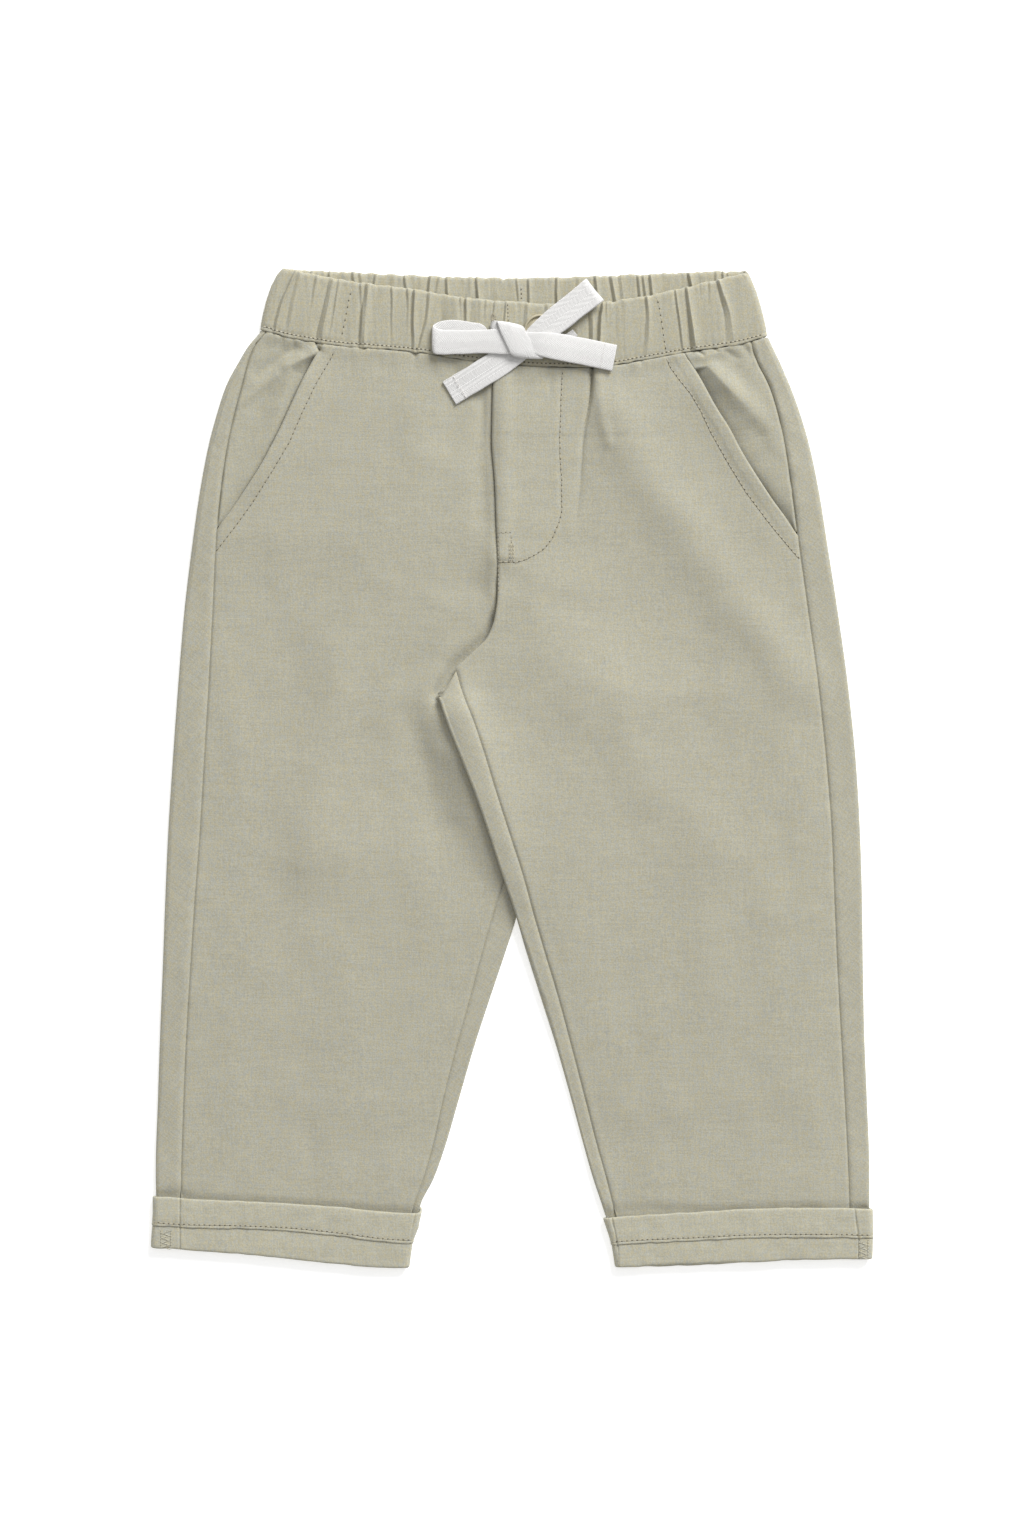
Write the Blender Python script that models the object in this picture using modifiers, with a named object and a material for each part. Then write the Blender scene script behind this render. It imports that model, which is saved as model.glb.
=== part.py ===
"""Toddler's linen drawstring trousers, laid flat on a table with the front up.

+X is the wearer's left, +Y points to the waist and +Z points up out of the front. The left leg
lies over the right one at the crotch. Lengths below are in millimetres.
"""

import math

import bmesh
import bpy
import numpy as np

MM = 0.001

# ---------------------------------------------------------------- driving sizes
CLOTH = 1.0                # one layer of linen
SEAM = 0.3                 # gap between two pieces that are sewn edge to edge
LAYER = CLOTH + SEAM       # from one layer's middle to the next one lying on it
HALF = CLOTH / 2

BAND = 2.2                 # waistband casing with its elastic
BAND_BACK_Z = BAND / 2
BAND_FRONT_Z = 4.1
BAND_ROLL = (BAND_FRONT_Z - BAND_BACK_Z) / 2

CROWN = 0.8                # how far the fronts puff up away from the folds
CROWN_REACH = 30.0
LEG_LIFT = 3.1             # height of the left leg where it lies on the right one
LIFT_RAMP = 14.0
LIFT_TOP = (75.0, 105.0)   # the left side climbs on to the right one between these heights

CUFF_RISE = LAYER          # the legs lie on the back of their turn-ups
CUFF_RAMP = 14.0
CUFF_LIP = 4.0             # cloth that runs on up inside the bottom fold
HEM_RAISE = 0.6            # the hem allowance on the face of the turn-up

POCKET_UNDERLAP = 5.0      # facing that runs on under the front's slanted edge

TAPE = 1.0                 # drawstring tape
TAPE_WIDTH = 12.0
BUTTON_RADIUS = 7.5
BUTTON_HEIGHT = 2.0
BUTTON_AT = (13.2, 196.0, 5.5)

LINEN_COLOUR = (0.452, 0.432, 0.334, 1.0)
FACING_COLOUR = (0.430, 0.412, 0.320, 1.0)
TAPE_COLOUR = (0.830, 0.820, 0.790, 1.0)
BUTTON_COLOUR = (0.480, 0.450, 0.350, 1.0)


# ---------------------------------------------------------------- short tables
class Table:
    """Rows of numbers with named columns, read smoothly along the first column."""

    def __init__(self, columns, *rows):
        data = np.array(sorted(rows), dtype=float)
        self.columns = {name: data[:, i] for i, name in enumerate(columns.split())}
        self.key = data[:, 0]

    def __call__(self, column, at):
        """A cubic through the rows that never overshoots them."""
        x, y = self.key, self.columns[column]
        step = np.diff(x)
        slope = np.diff(y) / step
        tangent = np.concatenate(([slope[0]], np.zeros(len(x) - 2), [slope[-1]]))
        both = slope[:-1] * slope[1:] > 0
        tangent[1:-1][both] = 2 * slope[:-1][both] * slope[1:][both] / (slope[:-1] + slope[1:])[both]
        at = np.clip(at, x[0], x[-1])
        i = np.clip(np.searchsorted(x, at) - 1, 0, len(step) - 1)
        t = (at - x[i]) / step[i]
        return float(
            (2 * t**3 - 3 * t**2 + 1) * y[i]
            + (t**3 - 2 * t**2 + t) * step[i] * tangent[i]
            + (3 * t**2 - 2 * t**3) * y[i + 1]
            + (t**3 - t**2) * step[i] * tangent[i + 1]
        )


# The folded outline and the side seams, which lie forward of the folds.
SIDES = Table(
    "y     right_fold  right_seam  left_seam  left_fold",
    (196.0, -113.4, -110.4, 107.0, 114.6),
    (190.0, -118.6, -115.4, 108.0, 117.4),
    (182.0, -123.4, -118.8, 110.8, 121.2),
    (172.0, -128.6, -121.4, 115.8, 125.4),
    (160.0, -132.6, -124.6, 119.6, 129.8),
    (145.0, -136.6, -128.0, 122.9, 134.2),
    (125.0, -140.4, -130.8, 126.0, 138.4),
    (100.0, -144.0, -133.2, 129.3, 142.4),
    (70.0, -147.6, -134.7, 133.5, 147.1),
    (35.0, -150.5, -136.6, 138.2, 151.9),
    (0.0, -153.0, -138.7, 141.9, 155.4),
    (-30.0, -154.9, -140.5, 144.1, 157.1),
    (-60.0, -156.2, -142.8, 145.3, 158.0),
    (-90.0, -157.3, -144.7, 146.6, 158.4),
    (-120.0, -158.5, -146.5, 148.2, 159.0),
    (-150.0, -159.5, -147.8, 149.9, 160.2),
    (-180.0, -160.4, -148.7, 151.4, 161.2),
    (-198.0, -160.2, -149.0, 152.0, 161.2),
    (-213.0, -161.2, -149.4, 152.6, 161.5),
    (-225.0, -161.6, -149.6, 152.8, 161.0),
)

# The inner folds of the legs and the inseams, from the crotch to the bottom folds.
INNER = Table(
    "y    right_inseam  right_fold  left_fold  left_inseam",
    (46.0, 27.5, 40.5, -37.5, -25.4),
    (33.0, 24.0, 36.0, -33.5, -21.8),
    (20.0, 20.0, 30.5, -29.2, -16.8),
    (5.0, 14.5, 24.5, -23.3, -11.8),
    (-12.0, 8.5, 18.2, -16.6, -6.6),
    (-30.0, 3.0, 11.8, -10.4, -0.8),
    (-48.0, -2.2, 6.6, -4.6, 5.0),
    (-64.0, -8.0, 3.2, 0.9, 9.4),
    (-82.0, -13.2, -2.3, 6.1, 14.6),
    (-102.0, -18.5, -9.0, 12.4, 20.6),
    (-125.0, -24.9, -16.5, 19.7, 26.8),
    (-150.0, -31.2, -23.8, 26.8, 33.3),
    (-170.0, -35.6, -29.6, 32.2, 38.4),
    (-185.0, -40.0, -35.0, 36.5, 42.6),
    (-196.0, -43.9, -40.6, 40.2, 45.4),
    (-205.0, -46.2, -42.6, 43.1, 48.0),
    (-213.0, -48.3, -45.4, 45.6, 49.8),
    (-225.0, -50.2, -47.2, 47.6, 51.2),
)

# The centre front: the mock fly's edge, then the crotch seam. The right front runs on under.
CENTRE_FRONT = Table(
    "y    right   left",
    (186.0, -8.0, -8.0),
    (160.0, -8.5, -8.5),
    (147.0, -8.7, -8.7),
    (127.0, -7.3, -7.3),
    (107.0, -6.6, -6.6),
    (88.0, -6.1, -6.1),
    (78.0, -6.2, -6.2),
    (68.0, -4.0, -7.4),
    (59.0, 5.0, -10.6),
    (51.0, 17.0, -18.2),
    (45.2, 27.0, -25.2),
)

# The centre back, under the fronts.
CENTRE_BACK = Table(
    "y    right   left",
    (196.0, 4.2, 4.2),
    (75.0, 4.2, 4.2),
    (67.0, 7.0, 2.4),
    (60.0, 12.0, -4.0),
    (52.0, 19.0, -12.5),
    (43.0, 27.5, -22.5),
    (33.0, 36.0, -33.5),
)

# The slanted pocket edges.
SLANT = Table(
    "y     right   left",
    (196.0, -81.6, 71.8),
    (190.0, -85.2, 75.2),
    (185.0, -88.2, 78.3),
    (176.0, -93.0, 84.0),
    (162.0, -99.6, 91.7),
    (152.0, -104.2, 98.0),
    (143.0, -108.8, 102.7),
    (135.0, -113.2, 107.5),
    (128.0, -117.7, 112.0),
    (120.0, -123.0, 117.4),
    (113.0, -128.0, 122.6),
    (107.0, -132.3, 126.6),
    (102.0, -134.0, 130.4),
)
POCKET_FOOT = {"right": 108.5, "left": 106.0}

# The waist: where the band is sewn on, and the top edges of its front and back.
WAIST = Table(
    "x     seam   back_seam  front_top  back_top",
    (-124.0, 199.0, 199.0, 225.6, 225.6),
    (-116.0, 197.6, 197.6, 225.4, 225.4),
    (-110.0, 196.2, 196.3, 225.2, 225.2),
    (-104.0, 194.2, 195.7, 224.9, 224.9),
    (-92.0, 191.8, 195.1, 222.4, 224.0),
    (-78.0, 189.6, 194.5, 219.9, 223.4),
    (-60.0, 188.2, 193.7, 217.2, 222.3),
    (-40.0, 186.3, 192.8, 214.5, 221.4),
    (-20.0, 183.2, 192.0, 211.3, 220.8),
    (0.0, 181.0, 191.4, 209.7, 220.3),
    (15.0, 180.0, 191.4, 208.7, 220.6),
    (30.0, 179.8, 191.6, 208.6, 221.1),
    (45.0, 180.7, 191.8, 209.7, 221.6),
    (60.0, 183.2, 192.1, 212.2, 222.0),
    (78.0, 186.5, 192.4, 215.9, 222.8),
    (92.0, 188.5, 192.7, 219.4, 223.3),
    (104.0, 190.6, 193.0, 222.4, 223.5),
    (112.0, 192.8, 193.3, 223.6, 223.6),
    (116.0, 194.0, 194.0, 223.8, 223.8),
    (124.0, 195.6, 195.6, 224.2, 224.2),
)
BAND_SIDES = Table(
    "v    left_on_page  right_on_page",
    (0.0, -113.4, 115.2),
    (0.16, -112.5, 114.4),
    (0.40, -111.0, 112.7),
    (0.65, -108.9, 110.6),
    (0.85, -106.3, 108.2),
    (1.0, -103.7, 106.2),
)

# Gathers of the band: where the groove meets the lower and upper edge, its depth and width.
FRONT_GATHERS = (
    ("x_low", "x_high", "depth", "width"),
    (-104.5, -97.5, 0.5, 5.0),
    (-92.0, -87.4, 0.4, 4.0),
    (-86.4, -81.8, 0.9, 5.0),
    (-82.0, -77.8, 0.4, 3.5),
    (-67.4, -65.1, 0.9, 3.4),
    (-53.6, -53.8, 0.4, 4.0),
    (-48.4, -48.0, 0.3, 3.0),
    (-44.4, -43.5, 0.8, 3.4),
    (-40.6, -37.4, 0.5, 3.6),
    (-34.8, -32.3, 0.5, 4.0),
    (-26.0, -24.6, 0.3, 2.6),
    (-21.6, -21.0, 0.8, 3.0),
    (-15.8, -13.5, 0.5, 3.6),
    (-9.8, -9.0, 0.4, 3.0),
    (-3.9, -3.0, 0.4, 4.0),
    (27.0, 26.0, 0.3, 4.0),
    (36.2, 36.1, 0.8, 2.6),
    (39.2, 39.4, 0.8, 2.6),
    (43.0, 43.4, 0.3, 3.0),
    (60.9, 60.0, 0.8, 3.4),
    (77.6, 72.4, 0.6, 3.2),
    (82.2, 75.8, 1.0, 4.2),
    (87.0, 80.0, 0.4, 3.0),
    (94.0, 87.6, 0.4, 3.4),
    (99.6, 92.4, 0.9, 4.4),
    (108.0, 101.0, 0.5, 4.0),
)
BACK_GATHERS = (
    ("x_low", "x_high", "depth", "width"),
    (-97.0, -90.0, 0.5, 4.0),
    (-89.0, -82.7, 0.5, 4.0),
    (-82.6, -76.8, 0.4, 3.6),
    (-76.9, -71.4, 0.8, 3.0),
    (-71.0, -66.6, 0.4, 3.0),
    (-66.0, -61.1, 0.8, 3.4),
    (-56.0, -52.6, 0.4, 3.2),
    (-48.6, -45.8, 0.4, 3.2),
    (-38.6, -36.3, 0.8, 3.2),
    (-35.6, -32.8, 0.4, 2.6),
    (-30.4, -28.6, 0.6, 2.6),
    (-19.6, -18.3, 0.5, 3.4),
    (-15.6, -14.6, 0.5, 3.0),
    (-8.0, -7.0, 0.3, 4.0),
    (0.6, 0.8, 0.4, 3.0),
    (8.2, 8.0, 0.9, 3.0),
    (21.6, 20.4, 0.9, 3.0),
    (32.0, 30.2, 0.4, 3.6),
    (40.4, 38.4, 0.6, 3.0),
    (47.6, 45.4, 0.6, 2.8),
    (50.8, 48.4, 0.6, 2.6),
    (60.0, 57.2, 0.5, 3.4),
    (66.0, 62.6, 0.6, 3.0),
    (74.0, 70.4, 0.3, 4.0),
    (85.0, 80.2, 0.6, 4.0),
    (91.0, 86.4, 0.3, 3.4),
    (97.8, 92.0, 0.6, 3.4),
    (102.4, 96.4, 0.6, 3.0),
)

# The turn-ups: top edge, hem stitching and bottom fold.
CUFFS = {
    "right": Table(
        "x      top      hem     bottom",
        (-163.0, -192.6, -205.6, -216.2),
        (-149.0, -193.6, -206.7, -217.0),
        (-125.0, -194.8, -207.2, -218.8),
        (-100.0, -196.0, -208.3, -221.2),
        (-73.0, -198.0, -211.1, -224.0),
        (-55.0, -199.8, -213.3, -225.2),
        (-41.0, -200.3, -213.9, -225.0),
    ),
    "left": Table(
        "x      top      hem     bottom",
        (41.0, -202.6, -214.8, -225.2),
        (62.0, -201.0, -213.5, -224.8),
        (85.0, -199.7, -212.5, -224.1),
        (107.0, -198.4, -211.4, -222.9),
        (134.0, -197.8, -211.1, -221.4),
        (163.0, -198.5, -211.6, -221.4),
    ),
}

# Height of the front layer above the table, before it puffs up.
LEVEL = Table(
    "y     front",
    (197.0, 4.1),
    (182.0, 3.9),
    (160.0, 3.5),
    (110.0, 3.3),
    (92.0, 2.8),
    (76.0, 2.3),
    (50.0, 2.2),
    (-226.0, 2.2),
)

# How far in from the crotch the fronts may puff up.
PUFF_LIMIT = Table(
    "y     right   left",
    (120.0, 60.0, -60.0),
    (95.0, 20.0, -30.0),
    (78.0, -8.0, -10.0),
    (60.0, -12.0, -12.0),
    (45.0, -26.0, -25.0),
    (20.0, -29.2, -29.2),
    (-12.0, -16.6, -16.6),
    (-48.0, -4.6, -4.6),
    (-70.0, 2.0, 2.6),
    (-102.0, -9.0, 12.4),
    (-150.0, -23.8, 26.8),
    (-225.0, -47.2, 47.6),
)

# The largest soft folds of the fronts and pocket facings: from, to, half width, height.
FOLDS = (
    ("x0", "y0", "x1", "y1", "half_width", "height"),
    (84.0, 186.0, 117.0, 151.0, 4.5, 0.9),
    (-86.0, 196.0, -104.0, 181.0, 4.0, 0.5),
    (-100.0, 190.0, -115.0, 178.0, 4.0, -0.5),
    (34.0, 184.0, 29.0, 118.0, 6.0, -0.9),
    (48.0, 176.0, 52.0, 120.0, 9.0, 0.4),
    (-13.5, 178.0, -12.0, 105.0, 5.0, -0.6),
    (-34.0, 186.0, -18.0, 142.0, 7.0, -0.4),
    (-46.0, 182.0, -40.0, 120.0, 9.0, 0.4),
    (70.0, -10.0, 120.0, -70.0, 14.0, 0.4),
    (-120.0, 10.0, -60.0, -60.0, 14.0, 0.4),
)
POCKET_GAPE = {"right": 0.4, "left": 1.0}
GAPE_REACH = 9.0

# Heights at which the panels have a row of points.
ROWS = (
    196.0, 186.0, 174.0, 160.0, 143.0, 125.0, 108.5, 96.0, 85.0, 75.0, 67.0, 60.0, 52.0, 43.0, 33.0,
    22.0, 8.0, -8.0, -27.0, -47.0, -66.0, -82.0, -102.0, -125.0, -150.0, -170.0, -181.0, -187.0,
    -194.0, -203.0, -210.0, -216.0,
)
CROTCH_ROW = ROWS.index(33.0)
INSEAM_STEP = 12.2         # the inseams meet the crotch this much above the inner folds
STEP_TOP = 100.0
TOP_BLEND = 125.0          # the rows follow the waist above this height
FOOT_BLEND = -150.0        # and the bottom folds below this one
OUTWARD = {"right": -1.0, "left": 1.0}

# Where the points of a row lie between its inner and outer end.
FRONT_STOPS = (0.0, 0.08, 0.18, 0.30, 0.42, 0.54, 0.66, 0.78, 0.90, 1.0)
BACK_STOPS = (0.0, 0.08, 0.20, 0.40, 0.67, 0.93, 1.0)


# ---------------------------------------------------------------- helpers
def smoothstep(value):
    t = min(max(value, 0.0), 1.0)
    return t * t * (3.0 - 2.0 * t)


def mix(a, b, t):
    return a + (b - a) * t


def material(name, colour, roughness=0.9):
    made = bpy.data.materials.new(name)
    made.use_nodes = True
    shader = made.node_tree.nodes["Principled BSDF"]
    shader.inputs["Base Color"].default_value = colour
    shader.inputs["Roughness"].default_value = roughness
    shader.inputs["Metallic"].default_value = 0.0
    return made


def new_object(name, mesh, colour, roughness=0.9):
    mesh.materials.append(material(name + "_material", colour, roughness))
    made = bpy.data.objects.new(name, mesh)
    bpy.data.collections["drawstring_trousers"].objects.link(made)
    return made


def mesh_from(name, bm):
    bmesh.ops.recalc_face_normals(bm, faces=bm.faces)
    mesh = bpy.data.meshes.new(name)
    bm.to_mesh(mesh)
    bm.free()
    mesh.shade_smooth()
    return mesh


def sheet(name, rows, colour, thickness=CLOTH):
    """A wall of cloth about a grid of points. A point that is None leaves the grid open there."""
    bm = bmesh.new()
    points = [[None if p is None else bm.verts.new([c * MM for c in p]) for p in row] for row in rows]
    for low, high in zip(points, points[1:]):
        for corners in zip(low, low[1:], high[1:], high):
            if None not in corners:
                bm.faces.new(corners)
    made = new_object(name, mesh_from(name, bm), colour)
    wall = made.modifiers.new("wall", "SOLIDIFY")
    wall.thickness = thickness * MM
    wall.offset = 0.0
    wall.use_even_offset = True
    return made


def loft(name, outer, inner, colour, closed=False):
    """A wall between two grids of points, closed round its edges, or a ring of it."""
    bm = bmesh.new()
    skins = [[[bm.verts.new([c * MM for c in p]) for p in row] for row in skin] for skin in (outer, inner)]
    columns = len(outer[0])
    last = columns if closed else columns - 1
    for skin in skins:
        for low, high in zip(skin, skin[1:]):
            for i in range(last):
                j = (i + 1) % columns
                bm.faces.new((low[i], low[j], high[j], high[i]))
    for end in (0, -1):
        for i in range(last):
            j = (i + 1) % columns
            bm.faces.new((skins[0][end][i], skins[0][end][j], skins[1][end][j], skins[1][end][i]))
    if not closed:
        for end in (0, -1):
            for r in range(len(outer) - 1):
                edge = (skins[0][r][end], skins[0][r + 1][end], skins[1][r + 1][end], skins[1][r][end])
                bm.faces.new(edge)
    return new_object(name, mesh_from(name, bm), colour)


# ---------------------------------------------------------------- heights of the layers
def fold_heights(x, y):
    """Sum of the soft folds at a place."""
    total = 0.0
    for x0, y0, x1, y1, half_width, height in FOLDS[1:]:
        dx, dy = x1 - x0, y1 - y0
        along = ((x - x0) * dx + (y - y0) * dy) / (dx * dx + dy * dy)
        nearest = min(max(along, 0.0), 1.0)
        away = math.hypot(x - x0 - nearest * dx, y - y0 - nearest * dy)
        total += height * math.exp(-((away / half_width) ** 2)) * smoothstep(1.3 - 0.8 * nearest)
    return total


def right_reach(y):
    """Inner edge of the right leg, on which the left leg lies."""
    if y > 33.0:
        return max(CENTRE_BACK("right", y), CENTRE_FRONT("right", y + 6.0) if y < 75.0 else 4.2)
    return INNER("right_fold", y)


def lift(side, x, y):
    if side == "right":
        return 0.0
    low, high = LIFT_TOP
    climb = smoothstep((high - y) / (high - low))
    return LEG_LIFT * climb * smoothstep(1.0 - (x - right_reach(y) - 1.0) / LIFT_RAMP)


def cuff_rise(side, x, y):
    top = CUFFS[side]("top", x)
    return CUFF_RISE * smoothstep((top + 2.0 + CUFF_RAMP - y) / CUFF_RAMP)


def gape(side, x, y):
    """The front stands a little off the facing along the slanted edge."""
    foot = POCKET_FOOT[side]
    along = smoothstep((y - foot) / 30.0) * smoothstep((WAIST("seam", x) - y) / 20.0)
    away = (x - SLANT(side, y)) / GAPE_REACH
    return POCKET_GAPE[side] * along * math.exp(-away * away)


def back_height(side, x, y):
    return HALF + lift(side, x, y) + cuff_rise(side, x, y)


def front_height(side, x, y):
    out = OUTWARD[side]
    from_fold = (SIDES(side + "_fold", y) - x) * out
    from_crotch = (x - PUFF_LIMIT(side, y)) * out
    below_band = smoothstep((WAIST("seam", x) - y) / CROWN_REACH)
    above_cuff = smoothstep((y + 178.0) / CROWN_REACH)
    puff = smoothstep(from_fold / CROWN_REACH) * smoothstep(from_crotch / CROWN_REACH)
    soft = CROWN + fold_heights(x, y) * smoothstep(from_crotch / 8.0)
    height = LEVEL("front", y + 197.0 - WAIST("seam", x) if y > 150.0 else y)
    height += puff * soft * below_band * above_cuff + gape(side, x, y)
    return height + lift(side, x, y) + cuff_rise(side, x, y)


# ---------------------------------------------------------------- rows of the panels
def waist_row(row_y, top):
    """Bends a row towards the waist's edge, which is at top."""
    return row_y + smoothstep((row_y - TOP_BLEND) / (ROWS[0] - TOP_BLEND)) * (top - ROWS[0])


def foot_row(side, row_y, x):
    foot = CUFFS[side]("bottom", x) + CUFF_LIP + 1.5 * SEAM
    share = min(max((FOOT_BLEND - row_y) / (FOOT_BLEND - ROWS[-1]), 0.0), 1.0)
    return share * (foot - ROWS[-1])


def row_height(side, row_y, x, inner_share=0.0, layer="front"):
    """Height up the page of a row of points, at x."""
    if layer == "front":
        top = WAIST("seam", x) - SEAM / 2
    else:
        top = WAIST("back_seam", x) - SEAM / 2
    reach = (STEP_TOP - row_y) / (STEP_TOP - ROWS[CROTCH_ROW])
    if row_y < ROWS[CROTCH_ROW]:
        reach = (row_y - ROWS[-1]) / (ROWS[CROTCH_ROW] - ROWS[-1])
    step = INSEAM_STEP * min(max(reach, 0.0), 1.0) * inner_share
    return waist_row(row_y, top) + foot_row(side, row_y, x) + step


def settle(side, row_y, edge, inner_share=0.0, layer="front"):
    """The point where a row meets an edge that is given as a function of height."""
    y = row_y
    for _ in range(6):
        y = row_height(side, row_y, edge(y), inner_share, layer)
    return edge(y), y


# ---------------------------------------------------------------- edges of the pieces
def seam_edge(side, towards_fold):
    """Side seam, a little to one side of the stitching."""
    shift = OUTWARD[side] * SEAM / 2 * (1 if towards_fold else -1)
    return lambda y: SIDES(side + "_seam", y) + shift


def front_outer_edge(side):
    """Slanted pocket edge, then the side seam."""
    pick = max if side == "right" else min
    seam = seam_edge(side, False)

    def edge(y):
        return pick(SLANT(side, y), seam(y)) if y > SLANT.key[0] else seam(y)

    return edge


def inseam_edge(side, towards_fold):
    shift = -OUTWARD[side] * SEAM / 2 * (1 if towards_fold else -1)
    return lambda y: INNER(side + "_inseam", y) + shift


def front_inner_edge(side):
    """Centre front and crotch seam, then the inseam."""
    shift = OUTWARD[side] * SEAM / 2

    def edge(y):
        if y > 45.2:
            return CENTRE_FRONT(side, y) + shift
        return inseam_edge(side, False)(y)

    return edge


def back_centre_edge(side):
    shift = OUTWARD[side] * SEAM / 2
    return lambda y: CENTRE_BACK(side, y) + shift


# ---------------------------------------------------------------- the panels
def ramp_stops(side, x_from, x_to, y, shares):
    """Places along a row. On the left side two of them stay at the ends of its ramp."""
    if side == "right":
        return [mix(x_from, x_to, share) for share in shares]
    near = max(right_reach(y) + 1.0, x_from + 3.0)
    far = max(near + LIFT_RAMP, x_from + 17.0)
    return [x_from, near, far] + [mix(far, x_to, share) for share in shares[3:]]


def front_panel(side):
    outer_edge, inner_edge = front_outer_edge(side), front_inner_edge(side)
    rows = []
    for row_y in ROWS:
        x_in, _ = settle(side, row_y, inner_edge, 1.0)
        x_out, _ = settle(side, row_y, outer_edge)
        row = []
        for x in ramp_stops(side, x_in, x_out, row_y, FRONT_STOPS):
            inner_share = 1.0 - smoothstep((x - x_in) / (x_out - x_in) * 2.0)
            y = row_height(side, row_y, x, inner_share)
            row.append((x, y, front_height(side, x, y)))
        rows.append(row)
    return sheet("front_" + side, rows, LINEN_COLOUR)


def roll(side, fold_x, y_top, y_back, outward, arcs=4):
    """Half turn of cloth round a fold, from the front layer to the back layer."""
    z_top = front_height(side, fold_x - outward * 2.0, y_top)
    z_back = back_height(side, fold_x - outward * 2.0, y_back)
    radius = (z_top - z_back) / 2
    centre = fold_x - outward * (HALF + radius)
    points = []
    for i in range(arcs + 1):
        angle = math.pi * (0.5 - i / arcs)
        y = mix(y_top, y_back, i / arcs)
        x = centre + outward * radius * math.cos(angle)
        points.append((x, y, (z_top + z_back) / 2 + radius * math.sin(angle)))
    return points


def back_panel(side):
    """The back with its edges folded forward round the side and down the inside of the leg."""
    out = OUTWARD[side]
    fold = lambda y: SIDES(side + "_fold", y)
    inner_fold = lambda y: INNER(side + "_fold", y)
    rows = []
    for number, row_y in enumerate(ROWS):
        x_seam, y_seam = settle(side, row_y, seam_edge(side, True))
        x_fold, _ = settle(side, row_y, fold)
        x_near = x_fold - out * 1.5
        y_over = row_height(side, row_y, x_near)
        y_under = row_height(side, row_y, x_near, 0.0, "back")
        outer_roll = roll(side, x_fold, y_over, y_under, out)
        flap = [(x_seam, y_seam, front_height(side, x_seam, y_seam))]
        x = mix(x_seam, outer_roll[0][0], 0.5)
        y = row_height(side, row_y, x)
        flap.append((x, y, front_height(side, x, y)))
        below_crotch = number >= CROTCH_ROW
        inner_part = []
        if below_crotch:
            x_in, y_in = settle(side, row_y, inner_fold, 0.0)
            x_end, y_end = settle(side, row_y, inseam_edge(side, True), 1.0)
            inner_roll = roll(side, x_in, y_in, y_in, -out)[::-1]
            under_end = inner_roll[0][0]
            inner_part = list(inner_roll)
            for share in (0.5, 1.0):
                x = mix(inner_roll[-1][0], x_end, share)
                y = mix(y_in, y_end, share)
                inner_part.append((x, y, front_height(side, x, y)))
        else:
            under_end, _ = settle(side, row_y, back_centre_edge(side), 0.0, "back")
        stops = ramp_stops(side, under_end, outer_roll[-1][0], row_y, BACK_STOPS)[::-1][1:]
        if below_crotch:
            stops = stops[:-1]
        under = []
        for x in stops:
            y = row_height(side, row_y, x, 0.0, "back")
            under.append((x, y, back_height(side, x, y)))
        rows.append(flap + outer_roll + under + inner_part)
    width = max(len(row) for row in rows)
    rows = [row + [None] * (width - len(row)) for row in rows]
    return sheet("back_" + side, rows, LINEN_COLOUR)


def pocket_facing(side):
    """The part of the pocket that shows in its slanted mouth."""
    out = OUTWARD[side]
    foot = POCKET_FOOT[side]
    inner_edge = lambda y: SLANT(side, y) - out * POCKET_UNDERLAP
    seam = seam_edge(side, False)
    rows = []
    for row_y in [r for r in ROWS if r > foot + 4.0] + [foot]:
        x_seam, _ = settle(side, row_y, seam)
        x_under, _ = settle(side, row_y, inner_edge)
        x_edge, _ = settle(side, row_y, front_outer_edge(side))
        row = []
        for share in (0.0, 0.25, 0.5, 0.75, 1.0):
            x = mix(x_seam, x_edge, share)
            y = row_height(side, row_y, x)
            row.append((x, y, front_height(side, x, y) - LAYER * smoothstep(share * 1.25)))
        y = row_height(side, row_y, x_under)
        row.append((x_under, y, front_height(side, x_under, y) - LAYER))
        rows.append(row)
    return sheet("pocket_facing_" + side, rows, FACING_COLOUR)


# ---------------------------------------------------------------- waistband
def gather_columns(gathers, span_low, span_high):
    """Columns of the band as shares of its width at its lower and upper edge, with their relief."""
    low_from, low_to = span_low
    high_from, high_to = span_high
    grooves = [
        ((low - low_from) / (low_to - low_from), (high - high_from) / (high_to - high_from), depth,
         width / (low_to - low_from))
        for low, high, depth, width in gathers[1:]
    ]
    columns = [(0.0, 0.0, 0.0)]
    for i, (low, high, depth, width) in enumerate(grooves):
        before = grooves[i - 1] if i else (0.0, 0.0, 0.0, 0.0)
        spare = low - before[0] - (width + before[3]) / 2
        if spare > width / 2:
            if i:
                columns.append((before[0] + before[3] / 2, before[1] + before[3] / 2, before[2] / 2))
            if spare > 0.04:
                middle = (low + before[0]) / 2, (high + before[1]) / 2
                columns.append((middle[0], middle[1], 0.1))
            columns.append((low - width / 2, high - width / 2, depth / 2))
        elif i:
            columns.append(((low + before[0]) / 2, (high + before[1]) / 2, (depth + before[2]) / 4))
        columns.append((low, high, -depth / 2))
    low, high, depth, width = grooves[-1]
    columns.append((low + width / 2, high + width / 2, depth / 2))
    columns.append((1.0, 1.0, 0.0))
    return columns


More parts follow.
